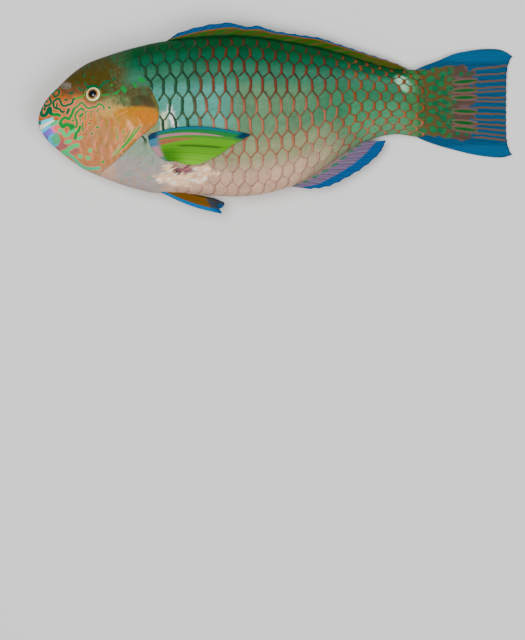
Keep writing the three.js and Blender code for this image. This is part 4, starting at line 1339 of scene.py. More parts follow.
    def build(self, markings: Markings, head: HeadMarkings, finish: bpy.types.Material) -> bpy.types.Object:
        """The skin as one closed piece.

        Args:
            markings: the flank's colours.
            head: the head's lines and patches.
            finish: its finish.

        Returns:
            The skin, its snout and its tail end closed.
        """
        angle = np.linspace(0, 2 * math.pi, self.lines, endpoint=False)
        edge = self.gill_edge(np.cos(angle))
        x = self.stations(edge)
        v = np.broadcast_to(np.cos(angle), x.shape)
        side = np.broadcast_to(np.where(angle <= math.pi, 1.0, -1.0), x.shape)
        y = self.form.height_at(x, v)
        flat = self.form.point(x, v, side, self.growth(x, y, v, edge)).reshape(-1, 3)
        tint, line, line_tint = self.colours(markings, head, x, y)
        rows, columns = x.shape
        ends = np.array([
            [self.form.snout_x, flat[:columns, 1].mean(), flat[:columns, 2].mean()],
            [self.form.end_x, flat[-columns:, 1].mean(), flat[-columns:, 2].mean()],
        ])
        faces = grid_faces(rows, columns, closed=True)
        total = rows * columns
        for j in range(columns):
            k = (j + 1) % columns
            faces.append((total, j, k))
            faces.append((total + 1, total - columns + k, total - columns + j))
        attributes = {
            "tint": np.concatenate([tint.reshape(-1, 3), tint[0, :1], tint[-1, :1]]),
            "line_tint": np.concatenate([line_tint.reshape(-1, 3), line_tint[0, :1], line_tint[-1, :1]]),
            "line": np.concatenate([line.ravel(), [-1.0, -1.0]]),
        }
        return piece("skin", np.concatenate([flat, ends]), turned(faces), finish, attributes)


@dataclass
class Scales:
    """The coat of large scales on one flank, each a thin closed plate."""

    form: Form
    skin: Skin
    wound: Wound
    markings: Markings
    rows: tuple[float, ...] = (0.985, 0.87, 0.71, 0.52, 0.26, 0, -0.26, -0.48, -0.67, -0.85, -0.985)
    pitch: float = 9.1
    first_x: float = -122.2
    columns: int = 26
    corner: float = 0.5
    spread: float = 1.4
    flat_part: float = 0.56
    slant_part: float = 0.84
    reach: float = 1.75
    edge_height: float = 0.42
    root_height: float = -0.75
    thick: float = 0.24
    hem_width: float = 1.15
    across: int = 12
    along: int = 7

    def stands(self, tip: float, middle_y: float) -> bool:
        """Whether a scale whose hind tip lies at (tip, middle_y) belongs to the coat."""
        ahead = tip - float(self.form.gill_x(middle_y))
        nape = float(ease(np.array((middle_y - 19) / 6)))
        torn = float(self.wound.mask(np.array(tip - 4), np.array(middle_y))) > 0.6
        return ahead >= 3 - 19 * nape and -118 <= tip <= self.form.end_x - 1 and not torn

    def lift(self, x: Array, y: Array, v: Array, height: Array) -> Array:
        """How far a scale's points stand out of the plain body form.

        Args:
            x, y: the points.
            v: their shares of the half depth.
            height: how far they stand out on an open flank.

        Returns:
            The distances, lower behind the gill cover, in the wound, on the breast and on back and belly.
        """
        grow = (height - self.skin.sink(x, y) * 1.05) * (1 - v**10)
        tucked = np.minimum(grow, -1.9 * self.skin.opening(y) - 0.75)
        grow = np.where(self.form.behind_gill(x, y) < 0.6, tucked, grow)
        return grow - 2.4 * self.wound.mask(x, y) - 0.9 * self.markings.breast(x, y)

    def plate(
        self, tip: float, centre: float, half: float, side: Side, rng: np.random.Generator,
    ) -> dict[str, Array]:
        """The points and colours of one scale.

        Args:
            tip: where its hind edge lies.
            centre: its row's share of the half depth.
            half: half its row's height as a share of the half depth.
            side: which flank.
            rng: the source of its small unevenness.

        Returns:
            Its points and attributes, those of the top followed by those of the underside.
        """
        t = np.linspace(-self.spread, self.spread, self.across + 1)[None, :]
        s = (np.linspace(0, 1, self.along + 1) ** 0.75)[:, None]
        cut = self.corner * self.pitch * np.clip((np.abs(t) - self.flat_part) / self.slant_part, 0, 1)
        shift = rng.normal(0, 0.12, 2)[0]
        hind = tip - cut + 0.25 * np.sin(t * 3 + rng.uniform(0, 6)) + shift
        x = hind - (1 - s) * self.reach * self.pitch
        v = np.clip(centre - t * half * (0.86 + 0.14 * s), -0.998, 0.998) + 0 * x
        y = self.form.height_at(x, v)
        height = self.root_height + (self.edge_height - self.root_height) * s - 0.03 * t * t
        grow = self.lift(x, y, v, height + 0.05 * waves(x, y, 4, 31) * s)
        out = side.value + 0 * x
        top = self.form.point(x, v, out, grow)
        low = self.form.point(x, v, out, grow - self.thick * (0.4 + 0.6 * (1 - s)))
        shade = 1 + rng.normal(0, 0.07)
        streak = 1 + 0.1 * np.sin(t * 21 + rng.uniform(0, 6)) * waves(x, y, 3, 33)
        inner = self.markings.flank(x, y) * (shade * streak)[..., None]
        slant = 1 - 0.2 * ease((np.abs(t) - 0.5) / 0.3)
        width = self.markings.bar_width(x, y) * slant + 0.35 * waves(x, y, 3, 35)
        corners = ease((np.abs(t) - 0.6) / 0.4) + 0 * x
        bar = layered(self.markings.bars(x, y), self.markings.net(x, y), corners * 0.75)
        hem = self.hem_width - 2.5 * self.markings.breast(x, y)
        bar = bar * (1 + rng.normal(0, 0.08))
        return {
            "points": np.concatenate([top.reshape(-1, 3), low.reshape(-1, 3)]),
            "tint": np.tile(inner.reshape(-1, 3), (2, 1)),
            "line_tint": np.tile(bar.reshape(-1, 3), (2, 1)),
            "line": np.tile((width - (hind - x)).ravel(), 2),
            "hem": np.tile((hem - (hind - x)).ravel(), 2),
        }

    def build(self, side: Side, finish: bpy.types.Material) -> bpy.types.Object:
        """All scales of one flank.

        Args:
            side: which flank.
            finish: their finish.

        Returns:
            The scales as one piece of many closed plates.
        """
        rng = np.random.default_rng(7 if side is Side.LEFT else 8)
        count = (self.across + 1) * (self.along + 1)
        plates, roots, faces = [], [], []
        for row, (upper, lower) in enumerate(zip(self.rows[:-1], self.rows[1:])):
            centre, half = (upper + lower) / 2, (upper - lower) / 2
            for column in range(self.columns):
                tip = self.first_x + (column + 0.5 * (row % 2)) * self.pitch + rng.normal(0, 0.25)
                if not self.stands(tip, float(self.form.height_at(tip, centre))):
                    continue
                slab = slab_faces(self.along + 1, self.across + 1, 2 * count * len(plates))
                faces += slab if side is Side.RIGHT else turned(slab)
                plates.append(self.plate(tip, centre, half, side, rng))
                roots.append((tip, centre))
        joined = {key: np.concatenate([plate[key] for plate in plates]) for key in plates[0]}
        made = piece(f"scales_{side.name.lower()}", joined.pop("points"), faces, finish, joined)
        self.unwrap(made, roots, 2 * count)
        return made

    def unwrap(self, made: bpy.types.Object, roots: list[Pair], size: int) -> None:
        """Lays each scale as a small patch at its root's place on an unwrap of the flank.

        Args:
            made: the coat, whose map is added.
            roots: each scale's length along the fish and share of the half depth.
            size: how many vertices a scale has.
        """
        layer = made.data.uv_layers.new(name="OFBake")
        corners = np.empty(len(made.data.loops), np.int32)
        made.data.loops.foreach_get("vertex_index", corners)
        which = corners // size
        local = corners % size
        count = size // 2
        under = local >= count
        local = local % count
        u, w = local % (self.across + 1) / self.across, local // (self.across + 1) / self.along
        places = np.array(roots)
        base_u = 0.03 + 0.94 * (places[which, 0] - self.first_x) / (self.columns * self.pitch)
        base_w = 0.05 + 0.9 * (places[which, 1] + 1) / 2
        patch = 0.003
        uv = np.stack([base_u + patch * (w - 0.5), base_w + patch * (u - 0.5) + under * patch * 1.4], -1)
        layer.data.foreach_set("uv", uv.astype(np.float32).ravel())


@dataclass
class RayTree:
    """The node tree that lays a tapering tube along each line of a fin's ray lines."""

    name: str = "fin_ray_tubes"

    def build(self) -> bpy.types.NodeTree:
        """Makes the tree.

        Returns:
            A tree with the inputs Lines, Thickness, Sides and Finish.
        """
        tree = bpy.data.node_groups.new(self.name, "GeometryNodeTree")
        kinds = {"Lines": "Geometry", "Thickness": "Float", "Sides": "Int", "Finish": "Material"}
        for name, kind in kinds.items():
            tree.interface.new_socket(name, in_out="INPUT", socket_type=f"NodeSocket{kind}")
        tree.interface.new_socket("Rays", in_out="OUTPUT", socket_type="NodeSocketGeometry")
        nodes, links = tree.nodes, tree.links
        given, result = nodes.new("NodeGroupInput"), nodes.new("NodeGroupOutput")
        to_curve = nodes.new("GeometryNodeMeshToCurve")
        taper = nodes.new("GeometryNodeInputNamedAttribute")
        taper.data_type = "FLOAT"
        taper.inputs["Name"].default_value = "taper"
        scaled = nodes.new("ShaderNodeMath")
        scaled.operation = "MULTIPLY"
        radius = nodes.new("GeometryNodeSetCurveRadius")
        profile = nodes.new("GeometryNodeCurvePrimitiveCircle")
        profile.inputs["Radius"].default_value = 1
        sweep = nodes.new("GeometryNodeCurveToMesh")
        sweep.inputs["Fill Caps"].default_value = True
        real = nodes.new("GeometryNodeRealizeInstances")
        dress = nodes.new("GeometryNodeSetMaterial")
        links.new(given.outputs["Lines"], to_curve.inputs["Mesh"])
        links.new(to_curve.outputs["Curve"], radius.inputs["Curve"])
        links.new(taper.outputs["Attribute"], scaled.inputs[0])
        links.new(given.outputs["Thickness"], scaled.inputs[1])
        links.new(scaled.outputs["Value"], radius.inputs["Radius"])
        links.new(given.outputs["Sides"], profile.inputs["Resolution"])
        links.new(radius.outputs["Curve"], sweep.inputs["Curve"])
        links.new(profile.outputs["Curve"], sweep.inputs["Profile Curve"])
        links.new(scaled.outputs["Value"], sweep.inputs["Scale"])
        links.new(sweep.outputs["Mesh"], real.inputs["Geometry"])
        links.new(real.outputs["Geometry"], dress.inputs["Geometry"])
        links.new(given.outputs["Finish"], dress.inputs["Material"])
        links.new(dress.outputs["Geometry"], result.inputs["Rays"])
        return tree

    def sweep(
        self, name: str, lines: bpy.types.Object, thickness: float, sides: int, finish: bpy.types.Material,
    ) -> bpy.types.Object:
        """Turns a mesh of lines into ray tubes.

        Args:
            name: the new piece's name.
            lines: a mesh of edges with the attributes taper and tint. It is used up.
            thickness: the tubes' radius in millimetres where taper is 1.
            sides: how many sides a tube has.
            finish: its finish.

        Returns:
            The tubes as a plain mesh piece.
        """
        tree = bpy.data.node_groups.get(self.name) or self.build()
        modifier = lines.modifiers.new("rays", "NODES")
        modifier.node_group = tree
        keys = {item.name: item.identifier for item in tree.interface.items_tree if item.in_out == "INPUT"}
        modifier[keys["Thickness"]] = thickness * MM
        modifier[keys["Sides"]] = sides
        modifier[keys["Finish"]] = finish
        held = lines.evaluated_get(bpy.context.evaluated_depsgraph_get())
        mesh = bpy.data.meshes.new_from_object(held)
        mesh.name = name
        lines.modifiers.remove(modifier)
        bpy.data.objects.remove(lines)
        mesh.shade_smooth()
        if not mesh.materials:
            mesh.materials.append(finish)
        LOG.info("%s: %d faces", name, len(mesh.polygons))
        return linked(name, mesh)


@dataclass
class Fin:
    """A fin: a thin membrane with rays that run from its root to its edge."""

    form: Form
    name: str
    node: str
    slot: str
    rays: int
    steps: int
    fine: int
    ray_radius: float
    branch_at: tuple[float, ...] = (0.5,)
    spines: int = 0
    ray_shade: ClassVar[float] = 0.72
    ray_sides: ClassVar[int] = 8

    def place(self, u: Array, t: Array) -> Array:
        """A point of the fin's middle surface, u across the rays and t along them."""
        raise NotImplementedError

    def thickness(self, u: Array, t: Array) -> Array:
        """The membrane's thickness."""
        return 0.9 * (1 - t) + 0.28 * t

    def tint(self, u: Array, t: Array, x: Array, y: Array) -> Array:
        """The fin's colours."""
        raise NotImplementedError

    def stripes(self, u: Array, per_ray: int = 2) -> Array:
        """Stripes along the rays, from 0 to 1, as many to a ray as given."""
        return 0.5 + 0.5 * np.cos(2 * math.pi * per_ray * (u * (self.rays - 1)))

    def scallop(self, u: Array) -> Array:
        """1 midway between two rays and 0 on a ray."""
        return np.abs(np.sin(u * (self.rays - 1) * math.pi))

    def membrane(self, finish: bpy.types.Material) -> bpy.types.Object:
        """The membrane.

        Args:
            finish: its finish.

        Returns:
            The membrane as one closed piece, darker along the rays.
        """
        columns = (self.rays - 1) * self.fine + 1
        u, t = np.meshgrid(np.linspace(0, 1, columns), np.linspace(0, 1, self.steps), indexing="ij")
        middle = self.place(u, t)
        half = self.thickness(u, t) / 2
        normal = np.cross(np.gradient(middle, axis=0), np.gradient(middle, axis=1))
        normal = normal / np.maximum(np.linalg.norm(normal, axis=-1, keepdims=True), 1e-9)
        normal = normal * np.where(normal[..., 2:3] < 0, -1, 1)
        top, low = middle + normal * half[..., None], middle - normal * half[..., None]
        tint = self.tint(u, t, middle[..., 0], middle[..., 1])
        shade = 1 - 0.12 * (1 - self.scallop(u)) ** 3
        both = np.concatenate([(tint * shade[..., None]).reshape(-1, 3)] * 2)
        points = np.concatenate([top.reshape(-1, 3), low.reshape(-1, 3)])
        faces = slab_faces(columns, self.steps)
        origin = middle[0, 0]
        if np.cross(middle[-1, 0] - origin, middle[0, -1] - origin)[2] <= 0:
            faces = turned(faces)
        return piece(f"{self.name}_membrane", points, faces, finish, {"tint": both})

    def ray_lines(self) -> bpy.types.Object:
        """The rays.

        Returns:
            A mesh of lines, each soft ray splitting into branches on its way out.
        """
        points, edges, taper, tint = [], [], [], []
        for i in range(self.rays):
            base = i / (self.rays - 1)
            levels = () if i < self.spines else self.branch_at
            for branch in range(2 ** len(levels)):
                t = np.linspace(0.02, 0.975, 26)
                shift = np.zeros(t.shape)
                for depth, start in enumerate(levels):
                    way = 1 if (branch >> depth) & 1 else -1
                    apart = 0.25 / (2**depth) / (self.rays - 1)
                    shift = shift + way * ease((t - start) / (1 - start)) * apart
                u = np.clip(base + shift, 0.004, 0.996)
                place = self.place(u, t)
                start = len(points)
                points += (place * MM).tolist()
                edges += [(start + k, start + k + 1) for k in range(len(t) - 1)]
                thin = (1 - 0.62 * t) * (0.72 if levels else 1.15)
                taper += thin.tolist()
                tint += (self.ray_shade * self.tint(u, t, place[:, 0], place[:, 1])).tolist()
        mesh = bpy.data.meshes.new(f"{self.name}_lines")
        mesh.from_pydata(points, edges, [])
        add_attribute(mesh, "taper", np.array(taper))
        add_attribute(mesh, "tint", np.array(tint))
        return linked(mesh.name, mesh)

    def build(self, tree: RayTree, finish: bpy.types.Material) -> None:
        """Makes membrane and rays and sets them on the fish."""
        settle(self.membrane(finish), self.slot, self.node)
        rays = tree.sweep(f"{self.name}_rays", self.ray_lines(), self.ray_radius, self.ray_sides, finish)
        settle(rays, self.slot)


@dataclass
class DorsalFin(Fin):
    """The fin along the back, folded down."""

    start: float = -84
    end: float = 84
    lean: Points = ((0, 12), (1 / 3, 24), (2 / 3, 20), (1, 14))
    edge: Points = (
        (-84, 56.2), (-72, 62.7), (-60, 66.6), (-46, 69.5), (-33.7, 70.5), (-21.9, 67.6), (-13, 68.2),
        (-3, 64.9), (19, 61.4), (31, 59.8), (43, 56), (66, 48.4), (90, 40.3), (99, 36),
    )

    def place(self, u: Array, t: Array) -> Array:
        """A point of the fin's middle surface."""
        root_x = self.start + (self.end - self.start) * u
        tip_x = root_x + smooth_curve(self.lean, 1)(u)
        tip_y = np.maximum(smooth_curve(self.edge, 1)(tip_x), self.form.back(tip_x) - 0.5)
        tip_y = tip_y - 0.6 * self.scallop(u) * t
        root_y = self.form.back(root_x) - 2.2
        x = root_x + (tip_x - root_x) * t
        y = root_y + (tip_y - root_y) * t
        fold = 0.5 * np.sin(u * (self.rays - 1) * math.pi) * np.sin(math.pi * t)
        return np.stack([x, y, self.form.middle_height(x) + 1.5 * t * np.sin(u * 9) + fold], -1)

    def tint(self, u: Array, t: Array, x: Array, y: Array) -> Array:
        """Blue outer edge, an ochre line, a green band and ochre streaks by the root.

        Args:
            u, t: shares across and along the rays; t is not used.
            x, y: the points in side view.

        Returns:
            The colours.
        """
        depth = np.maximum(smooth_curve(self.edge, 1)(x) - self.form.back(x), 0.5)
        free = np.clip((y - self.form.back(x)) / depth, 0, 1)
        streak = self.stripes(u, 1) ** 2
        blue_from = np.interp(x, (-84, -60, -30, 20, 95), (0.3, 0.5, 0.64, 0.74, 0.84))
        base = painted(plain(u, "2c5c1c"), (
            ("0e4420", ease((0.2 - free) / 0.12)),
            ("70482c", streak * ease((free - 0.05) / 0.2) * 0.6),
            ("5c4c1c", ease((x - 50) / 30) * (1 - streak) * 0.5),
            ("86582c", between(free, blue_from - 0.07, blue_from - 0.01, 0.03)),
            ("0a5884", ease((free - blue_from) / 0.06)),
        ))
        ribs = self.stripes(u) ** 3 * ease((free - blue_from) / 0.1)
        return painted(base, (
            ("084468", ribs * 0.6),
            ("083c62", ease((free - 0.94) / 0.05) * 0.6),
        ))


@dataclass
class AnalFin(Fin):
    """The fin behind the vent, folded back."""

    start: float = 7
    end: float = 59
    edge: Points = (
        (26, -52.2), (38.7, -50.4), (51.7, -44.3), (65.2, -36), (76, -26.5), (79.8, -20), (81.5, -16.2),
    )

    def place(self, u: Array, t: Array) -> Array:
        """A point of the fin's middle surface."""
        root_x = self.start + (self.end - self.start) * u
        tip = spline(self.edge, u)
        root_y = self.form.belly(root_x) + 2.4
        x = root_x + (tip[..., 0] - root_x) * t
        y = root_y + (tip[..., 1] - root_y) * t + (0.7 * self.scallop(u) - 0.3) * t
        fold = 0.4 * np.sin(u * (self.rays - 1) * math.pi) * np.sin(math.pi * t)
        return np.stack([x, y, self.form.middle_height(x) - 1.2 * t + fold], -1)

    def tint(self, u: Array, t: Array, x: Array, y: Array) -> Array:
        """Green by the root, then lilac with ochre streaks, with a blue edge.

        Args:
            u, t: shares across and along the rays.
            x, y: the points in side view, not used.

        Returns:
            The colours.
        """
        ray = u * (self.rays - 1)
        streak = (0.5 + 0.5 * np.cos(4 * math.pi * ray + 0.8 * np.sin(9 * t))) ** 2
        blue_from = np.interp(u, (0, 0.35, 1), (0.62, 0.6, 0.66))
        base = painted(plain(u, "7e7690"), (
            ("74545a", streak * between(t, 0.28, 0.7, 0.15) * 0.85),
            ("947c78", ease((0.3 - t) / 0.1) * 0.8),
        ))
        dots = spot((ray * 0.75) % 1, t, (0.5, 0.24), (0.26, 0.05), 0.5)
        return painted(base, (
            ("2c7c60", dots * 0.9),
            ("0c5e8c", ease((t - blue_from) / 0.08)),
            ("0a4c78", streak * ease((t - blue_from) / 0.1) * 0.5),
            ("0a4470", ease((t - 0.94) / 0.05) * 0.7),
        ))


@dataclass
class TailFin(Fin):
    """The tail fin with its two drawn-out lobes."""

    upper: Points = (
        (98, 33), (107.7, 38), (119.5, 42.5), (131.3, 47.5),
        (143, 50), (154.8, 51.3), (166.5, 50.6), (175, 46),
    )
    lower: Points = (
        (98, -10), (108, -15.6), (119.5, -19.8), (131, -23),
        (143, -26), (154.8, -28), (166.5, -28.8), (174.8, -26.8),
    )
    hollow: float = 4.4
    root_thick: float = 6.4
    stalk_share: float = 0.88
    flesh_start: float = 0.12
    flesh_length: float = 0.3
    brown_upper: Points = (
        (98, 33), (107, 36.5), (111, 36.7), (132, 40.2), (141, 39), (147, 36.7), (151, 34.9), (160, 34),
    )
    brown_lower: Points = (
        (98, -11), (107, -13.2), (117, -13.8), (129, -15.5), (142, -16.7), (152, -12), (160, -12),
    )
    spots: Points = (
        (123, 30, 2.2), (128, 34, 2), (137, 33, 1.8), (118, 22, 2.4), (125, 19, 2.2), (132, 27, 1.6),
        (130, 22, 1.5), (118, 11, 2.2), (125, 12, 2), (132, 13, 1.8), (126, 6, 2.2), (124, -0.4, 2.3),
        (131, -1.5, 2), (131, 7, 1.6), (121, -8.5, 2), (134, -11, 1.9), (128, -6, 1.7), (120, 4, 1.8),
        (119, 27, 1.8), (141, -12, 1.4), (143, 33, 1.4),
    )
    lenses: tuple[float, ...] = (27.3, 20.8, 15.5, 5.3, -3.2, -7.9)
    streaks: tuple[float, ...] = (37, 32, 27, 22.5, 19.7, 15.3, 12.6, 8, 3.8, -0.6, -4, -7.3, -11, -14)

    def place(self, u: Array, t: Array) -> Array:
        """A point of the fin's middle surface."""
        a, b = spline(self.upper, t), spline(self.lower, t)
        x = a[..., 0] + (b[..., 0] - a[..., 0]) * u
        y = a[..., 1] + (b[..., 1] - a[..., 1]) * u
        cut = self.hollow * (1 - np.abs(2 * u - 1) ** 6) + 0.35 * self.scallop(u)
        x = x - cut * t * t
        fold = 0.35 * np.sin(u * (self.rays - 1) * math.pi) * ease((t - 0.15) / 0.4)
        ripple = 0.5 * (1 + np.sin(7 * u)) * ease(t)
        z = np.maximum(self.form.middle_height(x) + ripple + fold * 0.5, 0.55)
        return np.stack([x, y, z], -1)

    def thickness(self, u: Array, t: Array) -> Array:
        """A fleshy root that carries on the stalk's section, then thins out to a membrane."""
        mid = np.abs(2 * u - 1)
        flesh = self.root_thick * np.sqrt(np.clip(1 - (mid / self.stalk_share) ** 2, 0, 1))
        out = ease((t - self.flesh_start) / self.flesh_length)
        return flesh * (1 - out) + 0.9 - 0.45 * t

    def tint(self, u: Array, t: Array, x: Array, y: Array) -> Array:
        """Blue lobes, a green middle with lens-shaped streaks, and ochre rays towards the hind edge.

        Args:
            u, t: shares across and along the rays.
            x, y: the points in side view.

        Returns:
            The colours.
        """
        fine = self.stripes(u) ** 2
        base = painted(plain(u, "055779"), (
            ("044666", fine * 0.55),
            ("146e90", spot(x, y, (150, 46), (24, 3), 0.8) * 0.5),
            ("146e90", spot(x, y, (150, -24), (24, 3), 0.8) * 0.5),
        ))
        upper = smooth_curve(self.brown_upper, 1)(x) + 0.8 * waves(x, y, 7, 51)
        lower = smooth_curve(self.brown_lower, 1)(x) + 0.8 * waves(x, y, 7, 52)
        hind = 147 + 3 * waves(x, y, 6, 53)
        brown = ease((upper - y) / 1.4) * ease((y - lower) / 1.4) * ease((hind - x) / 4)
        base = painted(base, (
            ("5c4a40", brown),
            ("6c5a34", brown * spot(x, y, (112, 14), (14, 20), 0.6) * 0.8),
            ("74606a", brown * ease(waves(x, y, 9, 54)) * 0.5),
        ))
        base = cell_net(x, y, base, brown * ease((134 - x) / 8))
        for sx, sy, radius in self.spots:
            reach = np.hypot(x - sx, (y - sy) * 1.1) + 0.5 * waves(x, y, 4, 55)
            base = painted(base, (
                ("2c5440", ease((radius + 0.7 - reach) / 0.5) * 0.7),
                ("22704a", ease((radius - reach) / 0.7)),
            ))
        for middle in self.lenses:
            swell = 1.5 * np.sqrt(np.clip(1 - ((x - 140) / 9.5) ** 2, 0, 1))
            away = np.abs(y - middle - 0.006 * (x - 140) * (middle - 12))
            base = painted(base, (
                ("80645c", ease((swell + 1.2 - away) / 0.5) * (swell > 0) * 0.8),
                ("1f6230", ease((swell - away) / 0.5) * (swell > 0)),
            ))
        for middle in self.streaks:
            away = np.abs(y - middle - 0.004 * (x - 150) * (middle - 12) - 0.3 * waves(x, y, 12, 56))
            line = ease((0.9 - away) / 0.4) * ease((x - 143) / 6)
            base = layered(base, colour("74583c"), line * 0.9)
        return layered(base, colour("084868"), ease((t - 0.95) / 0.04) * 0.6)


@dataclass
class PectoralFin(Fin):
    """The fin behind the gill cover, folded back along the flank."""

    side: Side = Side.LEFT
    root: Points = ((-93.5, -13.4), (-92.5, -19), (-88.5, -25.5), (-82.5, -30.5), (-76, -31))
    tips: Points = (
        (-18.2, -12.9), (-23, -15.6), (-31.7, -20.4), (-39.4, -26.2),
        (-49.7, -31.6), (-58, -34.6), (-66, -34.6),
    )
    arch: float = 6.2
    lobe: float = 0.24
    lift: float = 1.6

    def place(self, u: Array, t: Array) -> Array:
        """A point of the fin's middle surface."""
        a, b = spline(self.root, u), spline(self.tips, u)
        x = a[..., 0] + (b[..., 0] - a[..., 0]) * t
        y = a[..., 1] + (b[..., 1] - a[..., 1]) * t + self.arch * (1 - u) ** 2 * np.sin(math.pi * t**0.85)
        fold = 0.28 * np.sin(u * (self.rays - 1) * math.pi) * ease((t - 0.2) / 0.2)
        if self.side is Side.RIGHT:
            return np.stack([x, y, 0.5 + 0.2 * fold], -1)
        low = 1.9 * (1 - ease(t / self.lobe))
        flank = self.form.middle_height(x) + self.form.rise(x, y)
        return np.stack([x, y, flank + self.lift + 0.8 * t - low + fold], -1)

    def thickness(self, u: Array, t: Array) -> Array:
        """A fleshy lobe that thins out to a membrane."""
        if self.side is Side.RIGHT:
            return 0.5 + 0 * t
        root = ease(t / self.lobe)
        return 2.8 * (1 - root) + 0.45 * root

    def tint(self, u: Array, t: Array, x: Array, y: Array) -> Array:
        """Blue and violet at the leading edge, then pink streaks, then bright green.

        Args:
            u, t: shares across and along the rays.
            x, y: the points in side view, not used.

        Returns:
            The colours.
        """
        fine = self.stripes(u) ** 2
        base = painted(plain(u, "6a9c2c"), (
            ("88b03c", ease((u - 0.4) / 0.4) * ease((t - 0.3) / 0.4)),
            ("2f8044", ease((0.3 - u) / 0.16)),
            ("3a7a24", ease((0.5 - t) / 0.35) * ease((u - 0.35) / 0.2) * 0.8),
            ("35682a", fine * 0.4 * ease((u - 0.3) / 0.1)),
            ("2c4a2c", between(u, 0.4, 0.415, 0.02) * between(t, 0.4, 0.85, 0.1) * 0.7),
        ))
        width = 0.012 + 0.035 * np.clip(1 - t / 0.78, 0, 1) ** 0.6
        band = ease((width - np.abs(u - 0.15 - 0.05 * t)) / 0.02) * (t < 0.78)
        base = layered(base, colour("a4848e"), band)
        width = 0.01 + 0.08 * np.clip(1 - t / 0.55, 0, 1) ** 0.8
        wedge = ease((width - np.abs(u - 0.3 + 0.06 * t)) / 0.03) * (t < 0.55)
        base = painted(base, (
            ("a0665a", wedge * 0.9),
            ("7c6a3c", wedge * fine * 0.5),
            ("1d7482", ease((0.1 - u) / 0.06)),
            ("123f58", ease((t - 0.88) / 0.06) * ease((0.25 - u) / 0.12)),
        ))
        root = ease((0.13 - t) / 0.07)
        return painted(base, (
            ("4a8496", root * ease((0.45 - u) / 0.1)),
            ("1c3050", root * between(u, 0, 0.14, 0.05) * 0.9),
            ("a88c94", root * between(u, 0.4, 0.6, 0.08)),
            ("5a8a74", root * between(u, 0.66, 0.78, 0.05)),
            ("a8848a", root * ease((u - 0.82) / 0.06)),
        ))


@dataclass
class PelvicFin(Fin):
    """One of the pair of fins under the breast."""

    roots: Points = ((-86, -53.5), (-78, -53))
    tips: Points = ((-38.9, -70.6), (-42, -65.5), (-46, -60.5))
    rise: float = 4.6
    droop: float = -3.5

    def place(self, u: Array, t: Array) -> Array:
        """A point of the fin's middle surface."""
        first, last = np.array(self.roots, float)
        a = first + (last - first) * u[..., None]
        b = spline(self.tips, u)
        x = a[..., 0] + (b[..., 0] - a[..., 0]) * t - 0.5 * t * self.scallop(u)
        y = a[..., 1] + (b[..., 1] - a[..., 1]) * t - 2.4 * np.sin(math.pi * t) * (1 - u)
        fold = 0.3 * np.sin(u * (self.rays - 1) * math.pi) * np.sin(math.pi * t)
        return np.stack([x, y, self.form.middle_height(x) + self.rise + self.droop * t + fold], -1)

    def tint(self, u: Array, t: Array, x: Array, y: Array) -> Array:
        """A sky-blue leading edge over an ochre membrane.

        Args:
            u, t: shares across and along the rays.
            x, y: the points in side view, not used.

        Returns:
            The colours.
        """
        streak = self.stripes(u) ** 2
        return painted(plain(u, "7c5a20"), (
            ("58401c", streak * 0.7),
            ("143e54", ease((t - 0.8) / 0.08) * 0.8),
            ("1c78a0", ease((0.34 - u) / 0.1)),
            ("0c527e", ease((t - 0.84) / 0.1) * ease((0.4 - u) / 0.1) * 0.8),
        ))


@dataclass
class Studio:
    """The pale floor, the soft lights and the camera straight above."""

    picture_rows: float = 640
    fish_length: float = 350
    fish_pixels: float = 475.5
    middle: Pair = (-9.75, -148.9)
    distance: float = 7.0
    gap: float = 0.0004
    sensor: float = 36
    air: float = 0.22

    def build(self) -> None:
        """Lays the floor, hangs the lights and sets the camera."""
        self.floor()
        self.light("key", (-0.55, 0.15, 1.9), 1.0, 33)
        self.light("fill", (0.7, -0.6, 1.8), 1.2, 28)
        world = bpy.data.worlds.new("studio_air")
        world.use_nodes = True
        world.node_tree.nodes["Background"].inputs["Color"].default_value = (1, 1, 1, 1)
        world.node_tree.nodes["Background"].inputs["Strength"].default_value = self.air
        bpy.context.scene.world = world
        frame_height = self.picture_rows * self.fish_length / self.fish_pixels
        camera = bpy.data.cameras.new("camera")
        camera.sensor_width = self.sensor
        camera.lens = self.sensor * self.distance / (frame_height * MM)
        camera.clip_end = 30
        holder = linked("camera", camera)
        holder.location = (self.middle[0] * MM, self.middle[1] * MM, self.distance + 0.03)
        bpy.context.scene.camera = holder

    def floor(self) -> None:
        """A wide plain floor."""
        mesh = bpy.data.meshes.new("floor")
        reach = 4
        corners = [(-reach, -reach), (reach, -reach), (reach, reach), (-reach, reach)]
        mesh.from_pydata([(x, y, -self.gap) for x, y in corners], [], [(0, 1, 2, 3)])
        paint = bpy.data.materials.new("pale_floor")
        paint.use_nodes = True
        shader = paint.node_tree.nodes["Principled BSDF"]
        shader.inputs["Base Color"].default_value = (0.78, 0.78, 0.77, 1)
        shader.inputs["Roughness"].default_value = 0.75
        mesh.materials.append(paint)
        linked("floor", mesh)

    def light(self, name: str, place: tuple[float, float, float], size: float, power: float) -> None:
        """A square soft light aimed at the fish.

        Args:
            name: its name.
            place: where it hangs, in metres.
            size: its width in metres.
            power: its power in watts.
        """
        lamp = bpy.data.lights.new(name, "AREA")
        lamp.size, lamp.energy = size, power
        made = linked(name, lamp)
        made.location = place
        made.rotation_euler = (-Vector(place)).to_track_quat("-Z", "Y").to_euler()


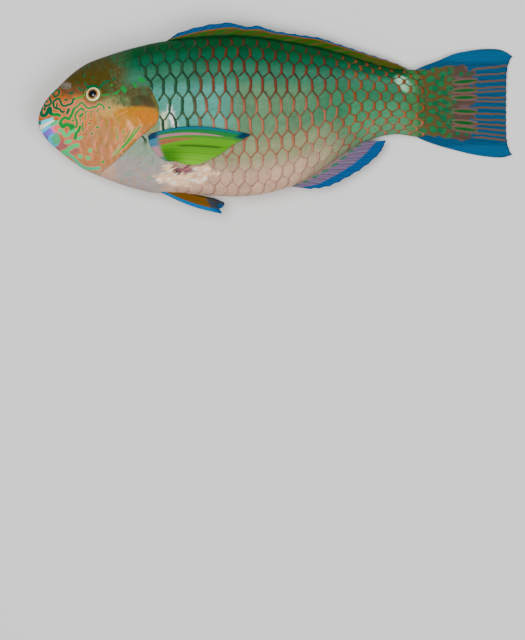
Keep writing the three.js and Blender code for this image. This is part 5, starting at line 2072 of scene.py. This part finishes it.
def main() -> None:
    """Builds the fish and the studio."""
    logging.basicConfig(level=logging.INFO, format="%(message)s")
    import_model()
    Studio().build()
    form = Form()
    markings, head, wound = Markings(form), HeadMarkings(form), Wound()
    eye, mouth = Eye(form), Mouth(form)
    skin_finish = Finish("wet_skin").make()
    scale_finish = Finish("wet_scales", roughness=0.44, grain=0.12, relief=0.1).make()
    fin_finish = Finish("wet_fins", roughness=0.5, grain=0.08, relief=0.08).make()
    eye_finish = Finish("wet_eyes", roughness=0.1, coat=0.25, specular=0.3, grain=0.03, relief=0).make()
    beak_finish = Finish("tooth_plates", roughness=0.3, coat=0.1, specular=0.2, grain=0.06, relief=0.12)
    beak_finish = beak_finish.make()
    skin = Skin(form, eye, mouth, wound)
    under_skin = ("head", "gill_cover_left", "gill_cover_right", "trunk", "tail_stalk")
    settle(skin.build(markings, head, skin_finish), "head_skin", *under_skin)
    coat = Scales(form, skin, wound, markings)
    for side in Side:
        settle(coat.build(side, scale_finish), "scaled_skin")
        settle(eye.build(side, eye_finish), "eye", f"eye_{side.name.lower()}")
    settle(mouth.build(True, beak_finish), "beak", "beak_upper")
    settle(mouth.build(False, beak_finish), "beak", "beak_lower")
    tree = RayTree()
    fins = [
        DorsalFin(form, "dorsal_fin", "fin_dorsal", "fin_blue", 19, 36, 12, 0.5, (0.55,), 9),
        AnalFin(form, "anal_fin", "fin_anal", "fin_violet", 12, 40, 12, 0.42, (0.5,), 3),
        TailFin(form, "tail_fin", "fin_tail", "fin_blue", 15, 100, 14, 0.42, (0.42, 0.7), 0),
        PectoralFin(form, "left_pectoral_fin", "fin_pectoral_left", "fin_green", 14, 60, 8, 0.42, (0.55,), 1),
        PectoralFin(form, "right_pectoral_fin", "fin_pectoral_right", "fin_green", 14, 60, 8, 0.3, (0.55,), 1,
                    side=Side.RIGHT),
        PelvicFin(form, "left_pelvic_fin", "fin_pelvic_left", "fin_ochre", 6, 34, 10, 0.5, (0.5,), 1),
        PelvicFin(form, "right_pelvic_fin", "fin_pelvic_right", "fin_ochre", 6, 34, 10, 0.5, (0.5,), 1,
                  tips=((-39.5, -66.5), (-37.5, -62.6), (-44, -59.4)), rise=-4.6, droop=-5),
    ]
    for fin in fins:
        fin.build(tree, fin_finish)


if __name__ == "__main__":
    main()
